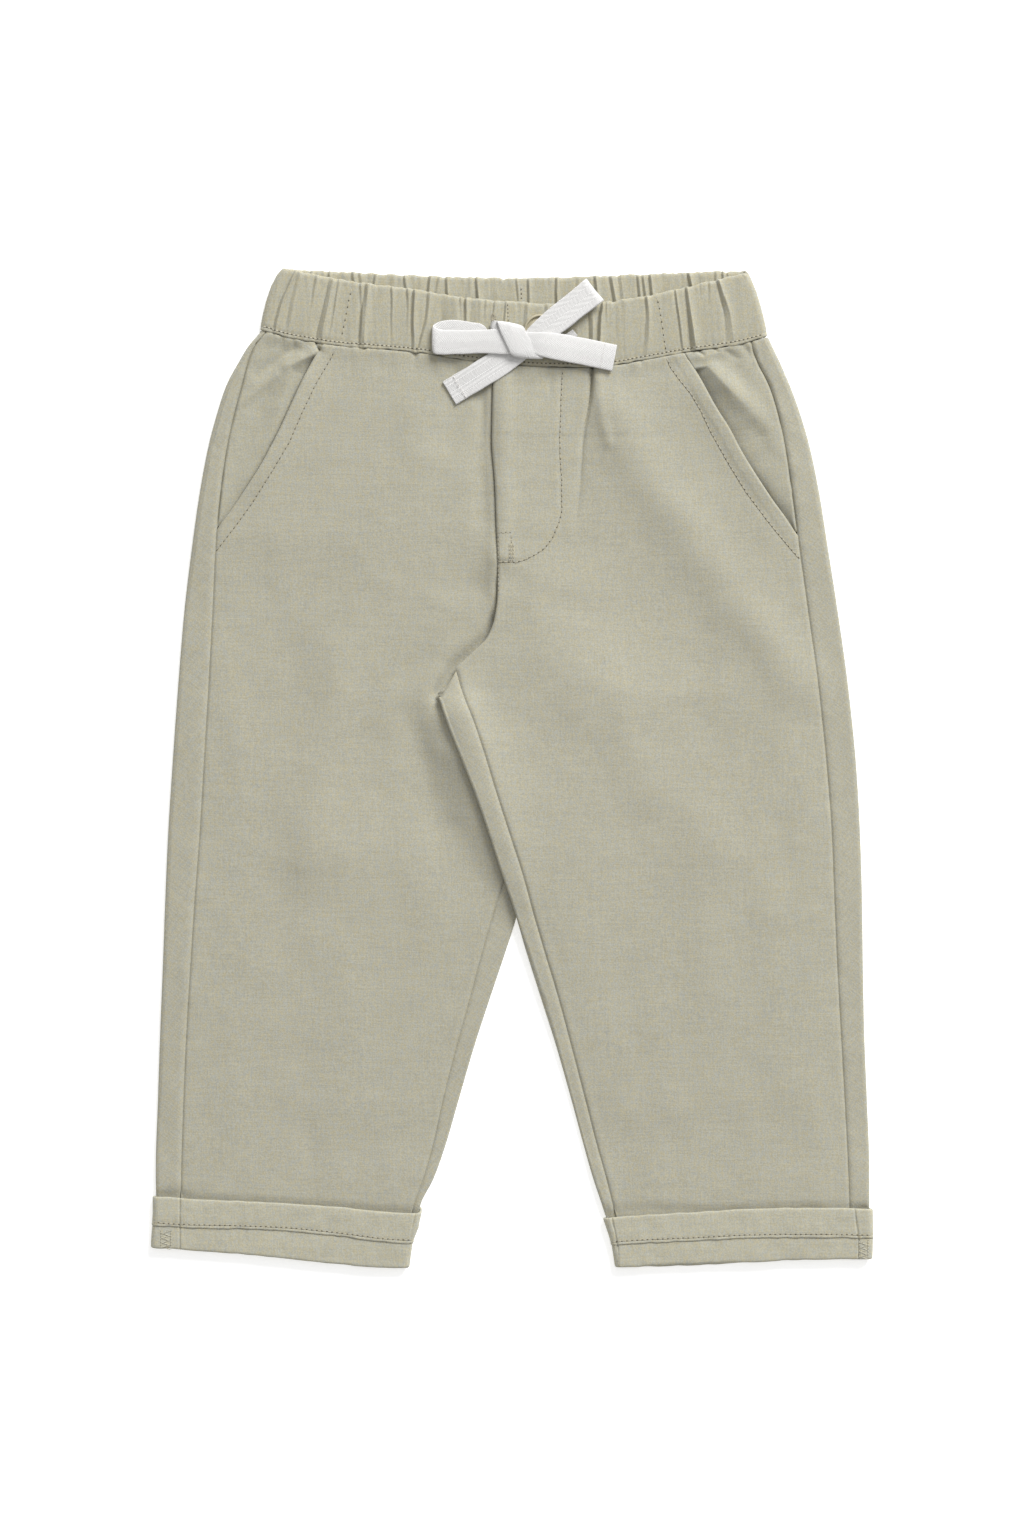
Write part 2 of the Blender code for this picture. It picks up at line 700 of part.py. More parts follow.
def band_row(columns, v, y_at, z_middle, facing, relief_scale):
    """One row of the band's two skins. The gathers are on the skin that faces up."""
    left, right = BAND_SIDES("left_on_page", v), BAND_SIDES("right_on_page", v)
    flat_left = left + BAND / 2 + BAND_ROLL
    flat_right = right - BAND / 2 - BAND_ROLL
    middle_z = (BAND_FRONT_Z + BAND_BACK_Z) / 2
    tip = math.asin(SEAM / 2 / BAND_ROLL)
    upper, lower = [], []

    def round_end(centre_x, direction, shares):
        for share in shares:
            angle = mix(tip, math.pi / 2, share)
            for skin, half in ((upper, facing * BAND / 2), (lower, -facing * BAND / 2)):
                radius = BAND_ROLL + half
                x = centre_x + direction * radius * math.cos(angle)
                skin.append((x, y_at(x), middle_z + facing * radius * math.sin(angle)))

    round_end(flat_left, -1.0, (0.0, 1 / 3, 2 / 3))
    for low, high, relief in columns:
        x = mix(flat_left, flat_right, mix(low, high, v))
        upper.append((x, y_at(x), z_middle + BAND / 2 + relief * relief_scale))
        lower.append((x, y_at(x), z_middle - BAND / 2))
    round_end(flat_right, 1.0, (2 / 3, 1 / 3, 0.0))
    return upper, lower


BAND_ROWS = (
    ("v", "relief"),
    (0.0, 0.7),
    (0.12, 1.0),
    (0.5, 0.9),
    (0.88, 1.0),
    (1.0, 0.8),
)


def waistband(which, gathers, z_middle, facing):
    spans = []
    for v in (0.0, 1.0):
        inset = BAND / 2 + BAND_ROLL
        spans.append((BAND_SIDES("left_on_page", v) + inset, BAND_SIDES("right_on_page", v) - inset))
    columns = gather_columns(gathers, *spans)
    outer, inner = [], []
    for v, relief in BAND_ROWS[1:]:
        if which == "front":
            y_at = lambda x, v=v: mix(WAIST("seam", x) + SEAM / 2, WAIST("front_top", x), v)
        else:
            y_at = lambda x, v=v: mix(WAIST("back_seam", x) + SEAM / 2, WAIST("back_top", x), v)
        upper, lower = band_row(columns, v, y_at, z_middle, facing, relief)
        outer.append(upper)
        inner.append(lower)
    return loft("waistband_" + which, outer, inner, LINEN_COLOUR)


# ---------------------------------------------------------------- turn-ups
def cuff_profile():
    """The cuff's two skins, as (part of the height, millimetres from it, distance from the leg)."""
    turn = LAYER / 2
    outer = [("bottom", CUFF_LIP, -HALF), ("bottom", turn + HALF, -HALF)]
    inner = [("bottom", CUFF_LIP, HALF), ("bottom", turn + HALF, HALF)]
    for quarter in (1, 2, 3):
        angle = math.pi * quarter / 4
        for skin, radius in ((outer, turn + HALF), (inner, turn - HALF)):
            along = turn + HALF - radius * math.sin(angle)
            skin.append(("bottom", along, turn - radius * math.cos(angle)))
    face = LAYER + HALF
    back = LAYER - HALF
    outer += [("bottom", turn + HALF, face), ("hem", -0.4, face), ("hem", 0.4, face + HEM_RAISE)]
    outer += [("top", -5.0, face + HEM_RAISE), ("top", -0.8, face + HEM_RAISE)]
    outer += [("top", 0.0, face + HEM_RAISE / 2)]
    inner += [("bottom", turn + HALF, back), ("hem", -0.4, back), ("hem", 0.4, back)]
    inner += [("top", -5.0, back), ("top", -0.8, back), ("top", 0.0, back)]
    return outer, inner


def cuff_loop(side, place, millimetres, away):
    """One ring of points round the leg, at a height given by the cuff's own edges."""
    edges = CUFFS[side]
    out = OUTWARD[side]
    z_front = LEVEL("front", -200.0) + CUFF_RISE
    z_back = HALF + CUFF_RISE
    radius = (z_front - z_back) / 2
    middle = (z_front + z_back) / 2
    raised = HALF + LAYER

    def turn_centre(column, table, direction):
        y = edges(place, edges.key[-1] if direction > 0 else edges.key[0]) + millimetres
        return table(column, y) - direction * (HALF + radius)

    outer_x = turn_centre(side + "_fold", SIDES, out)
    inner_x = turn_centre(side + "_fold", INNER, -out)
    up = math.pi / 2
    stations = [(mix(inner_x, outer_x, i / 8), up) for i in range(9)]
    stations += [(outer_x, up - out * math.pi * i / 4) for i in (1, 2, 3)]
    stations += [(mix(outer_x, inner_x, i / 6), -up) for i in range(7)]
    stations += [(inner_x, -up - out * math.pi * i / 4) for i in (1, 2, 3)]
    points = []
    for x, angle in stations:
        rise = math.sin(angle)
        hem = max(away - raised, 0.0) * (0.5 + 0.5 * rise)
        reach = radius + min(away, raised) + hem
        points.append((x + reach * math.cos(angle), edges(place, x) + millimetres, middle + reach * rise))
    return points


def turn_up(side):
    outer_profile, inner_profile = cuff_profile()
    outer = [cuff_loop(side, *row) for row in outer_profile]
    inner = [cuff_loop(side, *row) for row in inner_profile]
    return loft("turn_up_" + side, outer, inner, LINEN_COLOUR, closed=True)


# ---------------------------------------------------------------- drawstring and button
# Stations of each stretch of tape: middle of the tape, direction of its width, and its width.
TAPE_STRETCHES = {
    "drawstring_left_lead": (
        ("x", "y", "z", "heading", "width"),
        (-8.8, 203.2, 6.5, 47, 4.0),
        (-5.2, 199.8, 6.6, 47, 5.0),
        (-1.0, 195.6, 6.6, 47, 5.0),
    ),
    "drawstring_right_lead": (
        ("x", "y", "z", "heading", "width"),
        (29.2, 197.4, 6.5, 129, 3.4),
        (24.2, 192.9, 6.6, 129, 3.4),
        (19.2, 188.8, 6.6, 129, 3.4),
        (14.2, 184.7, 6.6, 129, 3.4),
    ),
    "drawstring_left_loop": (
        ("x", "y", "z", "heading", "width"),
        (-2.6, 192.6, 8.2, 90, 9.0),
        (-13.0, 194.4, 8.2, 92, 12.0),
        (-22.0, 195.4, 8.2, 92, 12.0),
        (-29.5, 195.0, 8.1, 90, 12.0),
        (-33.0, 194.2, 8.4, 90, 12.0),
        (-34.5, 193.0, 9.6, 90, 12.0),
        (-33.0, 191.8, 10.9, 90, 12.0),
        (-29.5, 191.2, 11.1, 90, 12.0),
        (-22.0, 190.9, 10.5, 90, 12.0),
        (-13.0, 190.9, 9.8, 90, 12.0),
        (-3.0, 191.2, 9.6, 90, 11.0),
    ),
    "drawstring_left_tail": (
        ("x", "y", "z", "heading", "width"),
        (2.5, 186.6, 6.8, 121, 10.0),
        (-6.5, 181.1, 6.8, 121, 12.0),
        (-17.0, 174.8, 6.3, 121, 12.0),
        (-28.0, 168.2, 5.8, 121, 12.0),
    ),
    "drawstring_right_loop": (
        ("x", "y", "z", "heading", "width"),
        (11.0, 193.6, 8.4, 129, 10.0),
        (20.0, 200.6, 8.4, 129, 12.0),
        (28.0, 207.0, 8.1, 129, 12.0),
        (33.4, 211.4, 7.9, 129, 12.4),
        (36.0, 213.5, 8.2, 129, 12.6),
        (37.2, 214.5, 9.3, 129, 12.6),
        (36.0, 213.5, 10.5, 129, 12.6),
        (33.4, 211.4, 10.8, 129, 12.4),
        (28.0, 207.0, 10.4, 129, 12.0),
        (20.0, 200.6, 9.9, 129, 12.0),
        (11.0, 193.6, 9.7, 129, 10.0),
    ),
    "drawstring_right_tail": (
        ("x", "y", "z", "heading", "width"),
        (9.0, 190.4, 11.2, 84, 8.0),
        (14.0, 189.8, 11.3, 82, 11.0),
        (22.0, 188.6, 11.0, 81, 12.0),
        (30.0, 187.2, 9.6, 80, 12.0),
        (38.0, 185.6, 8.0, 79, 12.0),
        (46.2, 184.0, 7.3, 79, 12.0),
    ),
    "drawstring_knot": (
        ("x", "y", "z", "heading", "width"),
        (-0.8, 200.2, 8.6, -11, 10.0),
        (-0.3, 198.6, 11.2, -11, 12.0),
        (1.0, 195.4, 12.4, -10, 12.0),
        (2.6, 191.8, 12.7, -8, 12.0),
        (4.4, 188.2, 12.7, -6, 12.0),
        (6.8, 185.4, 12.6, -4, 10.0),
        (9.8, 183.6, 12.4, 0, 7.0),
    ),
}
TAPE_STEPS = 3


def along_stations(stations, steps):
    """A smooth curve through the stations (Catmull-Rom), with steps points between two."""
    data = [stations[0], *stations, stations[-1]]
    points = []
    for a, b, c, d in zip(data, data[1:], data[2:], data[3:]):
        for i in range(steps):
            t = i / steps
            points.append(tuple(
                0.5 * (2 * q + (r - p) * t + (2 * p - 5 * q + 4 * r - s) * t**2
                       + (3 * q - p - 3 * r + s) * t**3)
                for p, q, r, s in zip(a, b, c, d)
            ))
    points.append(tuple(float(v) for v in stations[-1]))
    return points


def tape_stretch(name):
    rows = []
    for x, y, z, heading, width in along_stations(TAPE_STRETCHES[name][1:], TAPE_STEPS):
        dx = math.cos(math.radians(heading)) * width / 2
        dy = math.sin(math.radians(heading)) * width / 2
        rows.append([(x - dx, y - dy, z), (x, y, z), (x + dx, y + dy, z)])
    return sheet(name, rows, TAPE_COLOUR, TAPE)


def waist_button():
    """A turned button: flat back, rounded rim and a dished face."""
    profile = (
        (0.0, 0.72), (0.58, 0.74), (0.74, 0.98), (0.86, 1.0), (0.97, 0.80), (1.0, 0.5), (0.97, 0.2),
        (0.88, 0.0), (0.0, 0.0),
    )
    bm = bmesh.new()
    points = [bm.verts.new((r * BUTTON_RADIUS * MM, 0.0, h * BUTTON_HEIGHT * MM)) for r, h in profile]
    for a, b in zip(points, points[1:]):
        bm.edges.new((a, b))
    mesh = bpy.data.meshes.new("button")
    bm.to_mesh(mesh)
    bm.free()
    made = new_object("button", mesh, BUTTON_COLOUR, 0.45)
    made.location = [c * MM for c in BUTTON_AT]
    turned = made.modifiers.new("turned", "SCREW")
    turned.axis = "Z"
    turned.angle = 2 * math.pi
    turned.screw_offset = 0.0
    turned.steps = 24
    turned.render_steps = 24
    turned.use_merge_vertices = True
    turned.merge_threshold = 0.00001
    turned.use_smooth_shade = True
    return made


# ---------------------------------------------------------------- the trousers
def build():
    for old in list(bpy.data.objects):
        bpy.data.objects.remove(old, do_unlink=True)
    group = bpy.data.collections.new("drawstring_trousers")
    bpy.context.scene.collection.children.link(group)
    for side in ("right", "left"):
        back_panel(side)
        front_panel(side)
        pocket_facing(side)
        turn_up(side)
    waistband("back", BACK_GATHERS, BAND_BACK_Z, -1.0)
    waistband("front", FRONT_GATHERS, BAND_FRONT_Z, 1.0)
    waist_button()
    for name in TAPE_STRETCHES:
        tape_stretch(name)


build()
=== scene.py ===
"""Looks of a toddler's linen drawstring trousers, laid flat on a table with the front up.

Each piece of cloth is a thin shell on its solid's form, with the gathers, creases and puckers of
sewn linen. +X is the wearer's left, +Y points to the waist. Lengths below are in millimetres.
"""

import math

import bmesh
import bpy
import numpy as np
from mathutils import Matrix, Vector
from mathutils.bvhtree import BVHTree


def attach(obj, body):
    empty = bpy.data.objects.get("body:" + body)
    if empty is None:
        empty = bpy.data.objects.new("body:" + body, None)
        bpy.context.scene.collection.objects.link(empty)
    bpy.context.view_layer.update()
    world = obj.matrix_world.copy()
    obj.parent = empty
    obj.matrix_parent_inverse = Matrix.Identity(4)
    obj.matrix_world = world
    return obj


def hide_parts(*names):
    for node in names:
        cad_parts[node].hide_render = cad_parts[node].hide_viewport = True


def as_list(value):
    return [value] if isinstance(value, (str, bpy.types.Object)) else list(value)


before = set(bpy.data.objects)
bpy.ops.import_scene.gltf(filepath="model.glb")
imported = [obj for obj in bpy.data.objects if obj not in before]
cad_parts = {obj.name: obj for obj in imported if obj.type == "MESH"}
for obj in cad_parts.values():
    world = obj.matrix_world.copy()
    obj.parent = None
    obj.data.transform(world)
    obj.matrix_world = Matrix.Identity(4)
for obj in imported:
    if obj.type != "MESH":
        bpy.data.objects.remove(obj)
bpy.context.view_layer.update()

MM = 0.001

# ---- sizes, as in the solids
HALF = 0.5                  # half of one layer of cloth
SEAM = 0.3                  # between two pieces that meet at a seam
LAYER = 1.3                 # from one layer of cloth to the next
WALL = 0.7                  # thickness of the shells that show

BAND = 2.2                  # thickness of each half of the waistband
BAND_HEIGHT = 29
BAND_BACK_Z = 1.1
BAND_FRONT_Z = 4.1
BAND_MIDDLE_Z = (BAND_FRONT_Z + BAND_BACK_Z) / 2
BAND_ROLL = 1.5             # radius of the turn at each end

CROWN = 0.8                 # how much higher the fronts are in their middle
CROWN_REACH = 30
CROWN_FOOT = -178
LEG_LIFT = 3.1              # rise of the left leg over the right one
LIFT_RAMP = 14
LIFT_TOP = (75, 105)        # the rise fades out between these heights up the page
TOP_RAMP = 60               # the front layer comes down more slowly than the back one
CROTCH_PILE = 4.3

CUFF_RAMP = 40              # length over which the leg rises onto its turn-up
CUFF_LIP = 4
HEM_RAISE = 0.32

TAPE = 0.9
TAPE_WIDTH = 12
BUTTON_RADIUS = 7.5
BUTTON_THICK = 2
BUTTON_AT = (12.8, 196.2, 5.5)

CAMERA_AT = (0.13, -0.2, 1923)
# Each light's name, place in metres, width in metres and power in watts. All point at the middle.
LIGHTS = (
    ("softbox", (2.47, 4.29, 3.09), 2.93, 402),
    ("overhead", (0.3, 0.6, 2.4), 1.6, 6),
)
TABLE_SIZE = 6              # metres
TABLE_GLOW = 0.48           # keeps the white of the table under the soft shadows


# ---- short tables
class Table:
    """Rows of numbers with named columns, read smoothly along the first column."""

    def __init__(self, columns, *rows):
        data = np.array(sorted(rows), dtype=float)
        self.columns = {name: data[:, i] for i, name in enumerate(columns.split())}
        self.key = data[:, 0]

    def line(self, column):
        """One column as a function."""
        return lambda at: self(column, at)

    def __call__(self, column, at):
        """A cubic through the rows that never overshoots them."""
        x, y = self.key, self.columns[column]
        step = np.diff(x)
        slope = np.diff(y) / step
        tangent = np.concatenate(([slope[0]], np.zeros(len(x) - 2), [slope[-1]]))
        both = slope[:-1] * slope[1:] > 0
        tangent[1:-1][both] = 2 * slope[:-1][both] * slope[1:][both] / (slope[:-1] + slope[1:])[both]
        at = np.clip(at, x[0], x[-1])
        i = np.clip(np.searchsorted(x, at) - 1, 0, len(step) - 1)
        t = (at - x[i]) / step[i]
        return (
            (2 * t**3 - 3 * t**2 + 1) * y[i]
            + (t**3 - 2 * t**2 + t) * step[i] * tangent[i]
            + (3 * t**2 - 2 * t**3) * y[i + 1]
            + (t**3 - t**2) * step[i] * tangent[i + 1]
        )


# Edges of the pieces by height up the page: the outermost line of each fold, and the seams.
SIDES = Table(
    "y     right_fold  right_seam  left_seam  left_fold",
    (196, -113.4, -110.4, 107, 114.6),
    (190, -118.6, -115.4, 108, 117.4),
    (182, -123.4, -118.8, 110.8, 121.2),
    (172, -128.6, -121.4, 115.8, 125.4),
    (160, -132.6, -124.6, 119.6, 129.8),
    (145, -136.6, -128, 122.9, 134.2),
    (125, -140.4, -130.8, 126, 138.4),
    (100, -144, -133.2, 129.3, 142.4),
    (70, -147.6, -134.7, 133.5, 147.1),
    (35, -150.5, -136.6, 138.2, 151.9),
    (0, -153, -138.7, 141.9, 155.4),
    (-30, -154.9, -140.5, 144.1, 157.1),
    (-60, -156.2, -142.8, 145.3, 158),
    (-90, -157.3, -144.7, 146.6, 158.4),
    (-120, -158.5, -146.5, 148.2, 159),
    (-150, -159.5, -147.8, 149.9, 160.2),
    (-180, -160.4, -148.7, 151.4, 161.2),
    (-198, -160.2, -149, 152, 161.2),
    (-213, -161.2, -149.4, 152.6, 161.5),
    (-225, -161.6, -149.6, 152.8, 161),
)
INNER = Table(
    "y    right_inseam  right_fold  left_fold  left_inseam",
    (46, 27.5, 40.5, -37.5, -25.4),
    (33, 24, 36, -33.5, -21.8),
    (20, 20, 30.5, -29.2, -16.8),
    (5, 14.5, 24.5, -23.3, -11.8),
    (-12, 8.5, 18.2, -16.6, -6.6),
    (-30, 3, 11.8, -10.4, -0.8),
    (-48, -2.2, 6.6, -4.6, 5),
    (-64, -8, 3.2, 0.9, 9.4),
    (-82, -13.2, -2.3, 6.1, 14.6),
    (-102, -18.5, -9, 12.4, 20.6),
    (-125, -24.9, -16.5, 19.7, 26.8),
    (-150, -31.2, -23.8, 26.8, 33.3),
    (-170, -35.6, -29.6, 32.2, 38.4),
    (-185, -40, -35, 36.5, 42.6),
    (-196, -43.9, -40.6, 40.2, 45.4),
    (-205, -46.2, -42.6, 43.1, 48),
    (-213, -48.3, -45.4, 45.6, 49.8),
    (-225, -50.2, -47.2, 47.6, 51.2),
)
CENTRE_FRONT = Table(
    "y    right   left",
    (186, -8, -8),
    (160, -8.5, -8.5),
    (147, -8.7, -8.7),
    (127, -7.3, -7.3),
    (107, -6.6, -6.6),
    (88, -6.1, -6.1),
    (78, -6.2, -6.2),
    (68, -4, -7.4),
    (59, 5, -10.6),
    (51, 17, -18.2),
    (45.2, 27, -25.2),
)
CENTRE_X = 4.2              # the centre back's seam above the crotch
CENTRE_BACK = Table(
    "y    right   left",
    (196, CENTRE_X, CENTRE_X),
    (75, CENTRE_X, CENTRE_X),
    (67, 7, 2.4),
    (60, 12, -4),
    (52, 19, -12.5),
    (43, 27.5, -22.5),
    (33, 36, -33.5),
)
SLANT = Table(
    "y     right   left",
    (196, -81.6, 71.8),
    (190, -85.2, 75.2),
    (185, -88.2, 78.3),
    (176, -93, 84),
    (162, -99.6, 91.7),
    (152, -104.2, 98),
    (143, -108.8, 102.7),
    (135, -113.2, 107.5),
    (128, -117.7, 112),
    (120, -123, 117.4),
    (113, -128, 122.6),
    (107, -132.3, 126.6),
    (102, -134, 130.4),
)
POCKET_FOOT = {"right": 108.5, "left": 106}
# Seams and tops of the two halves of the waistband, by place across the page.
WAIST = Table(
    "x     seam   back_seam  front_top  back_top",
    (-124, 199, 199, 225.6, 225.6),
    (-116, 197.6, 197.6, 225.4, 225.4),
    (-110, 196.2, 196.3, 225.2, 225.2),
    (-104, 194.2, 195.7, 224.9, 224.9),
    (-92, 191.8, 195.1, 222.4, 224),
    (-78, 189.6, 194.5, 219.9, 223.4),
    (-60, 188.2, 193.7, 217.2, 222.3),
    (-40, 186.3, 192.8, 214.5, 221.4),
    (-20, 183.2, 192, 211.3, 220.8),
    (0, 181, 191.4, 209.7, 220.3),
    (15, 180, 191.4, 208.7, 220.6),
    (30, 179.8, 191.6, 208.6, 221.1),
    (45, 180.7, 191.8, 209.7, 221.6),
    (60, 183.2, 192.1, 212.2, 222),
    (78, 186.5, 192.4, 215.9, 222.8),
    (92, 188.5, 192.7, 219.4, 223.3),
    (104, 190.6, 193, 222.4, 223.5),
    (112, 192.8, 193.3, 223.6, 223.6),
    (116, 194, 194, 223.8, 223.8),
    (124, 195.6, 195.6, 224.2, 224.2),
)
# Ends of the waistband, by share of its height.
BAND_SIDES = Table(
    "v    left_on_page  right_on_page",
    (0, -113.4, 115.2),
    (0.16, -112.5, 114.4),
    (0.4, -111, 112.7),
    (0.65, -108.9, 110.6),
    (0.85, -106.3, 108.2),
    (1, -103.7, 106.2),
)
CUFFS = {
    "right": Table(
        "x      top      hem     bottom",
        (-163, -192.6, -205.6, -216.2),
        (-149, -193.6, -206.7, -217),
        (-125, -194.8, -207.2, -218.8),
        (-100, -196, -208.3, -221.2),
        (-73, -198, -211.1, -224),
        (-55, -199.8, -213.3, -225.2),
        (-41, -200.3, -213.9, -225),
    ),
    "left": Table(
        "x      top      hem     bottom",
        (41, -202.6, -214.8, -225.2),
        (62, -201, -213.5, -224.8),
        (85, -199.7, -212.5, -224.1),
        (107, -198.4, -211.4, -222.9),
        (134, -197.8, -211.1, -221.4),
        (163, -198.5, -211.6, -221.4),
    ),
}
# Middle of the front layer above the table, and the inner limit of the fronts' crown.
LEVEL = Table(
    "y     front",
    (197, 4.1),
    (182, 3.9),
    (160, 3.5),
    (110, 3.3),
    (92, 2.8),
    (76, 2.3),
    (50, 2.2),
    (-226, 2.2),
)
LEVEL_BLEND = 150           # above this the level follows the waistband's seam
PUFF_LIMIT = Table(
    "y     right   left",
    (120, 60, -60),
    (95, 20, -30),
    (78, -8, -10),
    (60, -12, -12),
    (45, -26, -25),
    (20, -29.2, -29.2),
    (-12, -16.6, -16.6),
    (-48, -4.6, -4.6),
    (-70, 2, 2.6),
    (-102, -9, 12.4),
    (-150, -23.8, 26.8),
    (-225, -47.2, 47.6),
)

# Gathers of the casing, from its seam (low) to its top (high). Each rises over its slope to a crest
# and drops behind it. A depth below nothing at one end lets the gather fade out on the way there:
# x_low, x_bend, x_high, depth_low, depth_high, slope_low, slope_high.
FRONT_GATHERS = (
    (-107.6, -106.6, -104.2, -0.6, 1.5, 1, 1),
    (-106.5, -103.8, -96.6, 1.7, 1.6, 1.7, 1.1),
    (-100.7, -98, -94.8, 0.5, 0.8, 2, 1.6),
    (-91.5, -89.4, -87.2, -0.6, 1.1, 1.2, 1.2),
    (-85.6, -82.9, -80.2, 1.8, 1.5, 3, 2),
    (-82.7, -78.8, -77.5, 0.2, 1, 1, 1),
    (-68.2, -66.4, -67.6, 0.4, 0.9, 1.1, 1.1),
    (-66.2, -66, -64, 1.7, 1.6, 3, 1.8),
    (-53.4, -53.4, -53.8, 0.15, 0.9, 1.2, 0.9),
    (-47, -45.8, -46.6, -0.3, 1, 1.2, 1),
    (-43.6, -44, -43.4, 1.4, 1.9, 1.5, 1.2),
    (-41.8, -37.4, -36.5, 1.2, 1.1, 1.3, 1.5),
    (-24.4, -24.4, -24.4, 0.9, 1, 7, 7),
    (-22.4, -22.4, -22.6, -1.5, 0.8, 0.8, 0.8),
    (-20.4, -20.4, -20.2, 1.1, 1.7, 1.2, 1.2),
    (-16, -14.6, -13.9, 0.9, 1.1, 5, 4.4),
    (-11.6, -11.6, -11.4, -1.5, 0.9, 0.9, 0.9),
    (-9.6, -8.6, -7.2, -1, 0.8, 0.9, 0.9),
    (-3.6, -3.2, -2.2, 0.4, 0.7, 0.9, 0.9),
    (6.6, 6.6, 7.2, 0.3, 0.7, 2.5, 1.5),
    (16, 16.2, 16.4, -0.3, 0.5, 3, 1.6),
    (27.2, 26.8, 26.4, 0.2, 0.5, 3, 2),
    (37, 37, 36.2, 1.7, 1, 2, 2),
    (39.6, 39.4, 41.4, 1.5, 2.7, 1.3, 1.2),
    (43, 42.6, 42.8, -1.4, 0.9, 0.9, 0.9),
    (51, 51, 51.4, 0.2, 0.3, 5, 4),
    (60.2, 63.2, 60.8, 0.3, 1.5, 2.5, 1.2),
    (77.3, 76, 73.6, 0.8, 1, 1, 0.9),
    (83, 81.2, 78.9, 2.8, 1.2, 2.5, 1.2),
    (86, 85.6, 85.2, -1.2, 0.5, 1, 1),
    (90.2, 89.8, 89.2, -0.9, 0.5, 1, 1),
    (99.9, 99, 92.8, 0.7, 1.6, 4, 1.2),
    (113.6, 114.3, 104.2, 1.2, 1.8, 1.1, 1),
)
BACK_GATHERS = (
    (-91, -94, -95.7, 0.4, 0.5, 1.4, 1.2),
    (-85, -88.4, -89.9, 0.8, 0.9, 1.4, 1),
    (-79, -80.6, -81.8, 1.2, 1.4, 1.4, 1.1),
    (-64, -69, -71.3, 0.9, 1.2, 1.6, 1.2),
    (-60, -66, -68.3, 0.5, 0.7, 1.4, 1.2),
    (-65.8, -62.6, -60.8, 1.2, 1.5, 1.6, 1.2),
    (-56, -54, -52.6, 0.3, 0.4, 2.6, 1.8),
    (-43.6, -46.4, -47.9, 0.8, 1.1, 1.4, 1.1),
    (-39.6, -38, -36.4, 1.3, 1.6, 1.6, 1.3),
    (-40, -35, -32.3, -0.6, 0.9, 1.6, 1.2),
    (-26.6, -28, -29.2, 1.1, 1.4, 1.5, 1.2),
    (-19.6, -19, -18.3, 0.3, 0.4, 2.6, 2.2),
    (-12.6, -14.2, -15.5, 1.6, 1.7, 1.2, 1.1),
    (-6, -6.4, -6.8, 0.3, 0.3, 3.4, 3),
    (4.6, 3.8, 2.4, 0.5, 0.7, 1.2, 1),
    (8.6, 8.2, 7.8, 1.2, 1.3, 1.5, 1.2),
    (21.6, 21, 20.4, 1.4, 1.5, 1.4, 1.1),
    (32, 31, 30.2, 0.6, 0.7, 2.4, 1.6),
    (42, 40, 37.9, 1.1, 1.3, 1.8, 1.3),
    (51, 47.6, 44.7, 1.1, 1.3, 2, 1.4),
    (53, 51, 49.2, 0.5, 0.6, 2, 1.4),
    (60.5, 58.8, 57.1, 1, 1.2, 1.6, 1.3),
    (63, 61.2, 59.5, 1.1, 1.3, 1.4, 1.2),
    (66.3, 64.5, 62.7, 1.3, 1.6, 1.8, 1.2),
    (74, 72, 70.4, 0.2, 0.3, 3.4, 3),
    (88, 84, 79.6, 1.2, 1.5, 2, 1.2),
    (91, 88.6, 86.4, 0.3, 0.3, 3, 2.4),
    (93, 92.6, 92.1, 0.8, 1, 1.4, 1.1),
    (97, 96.2, 95.4, 1, 1.2, 1.4, 1),
    (100, 99, 97.4, 0.7, 0.9, 1.2, 1),
)

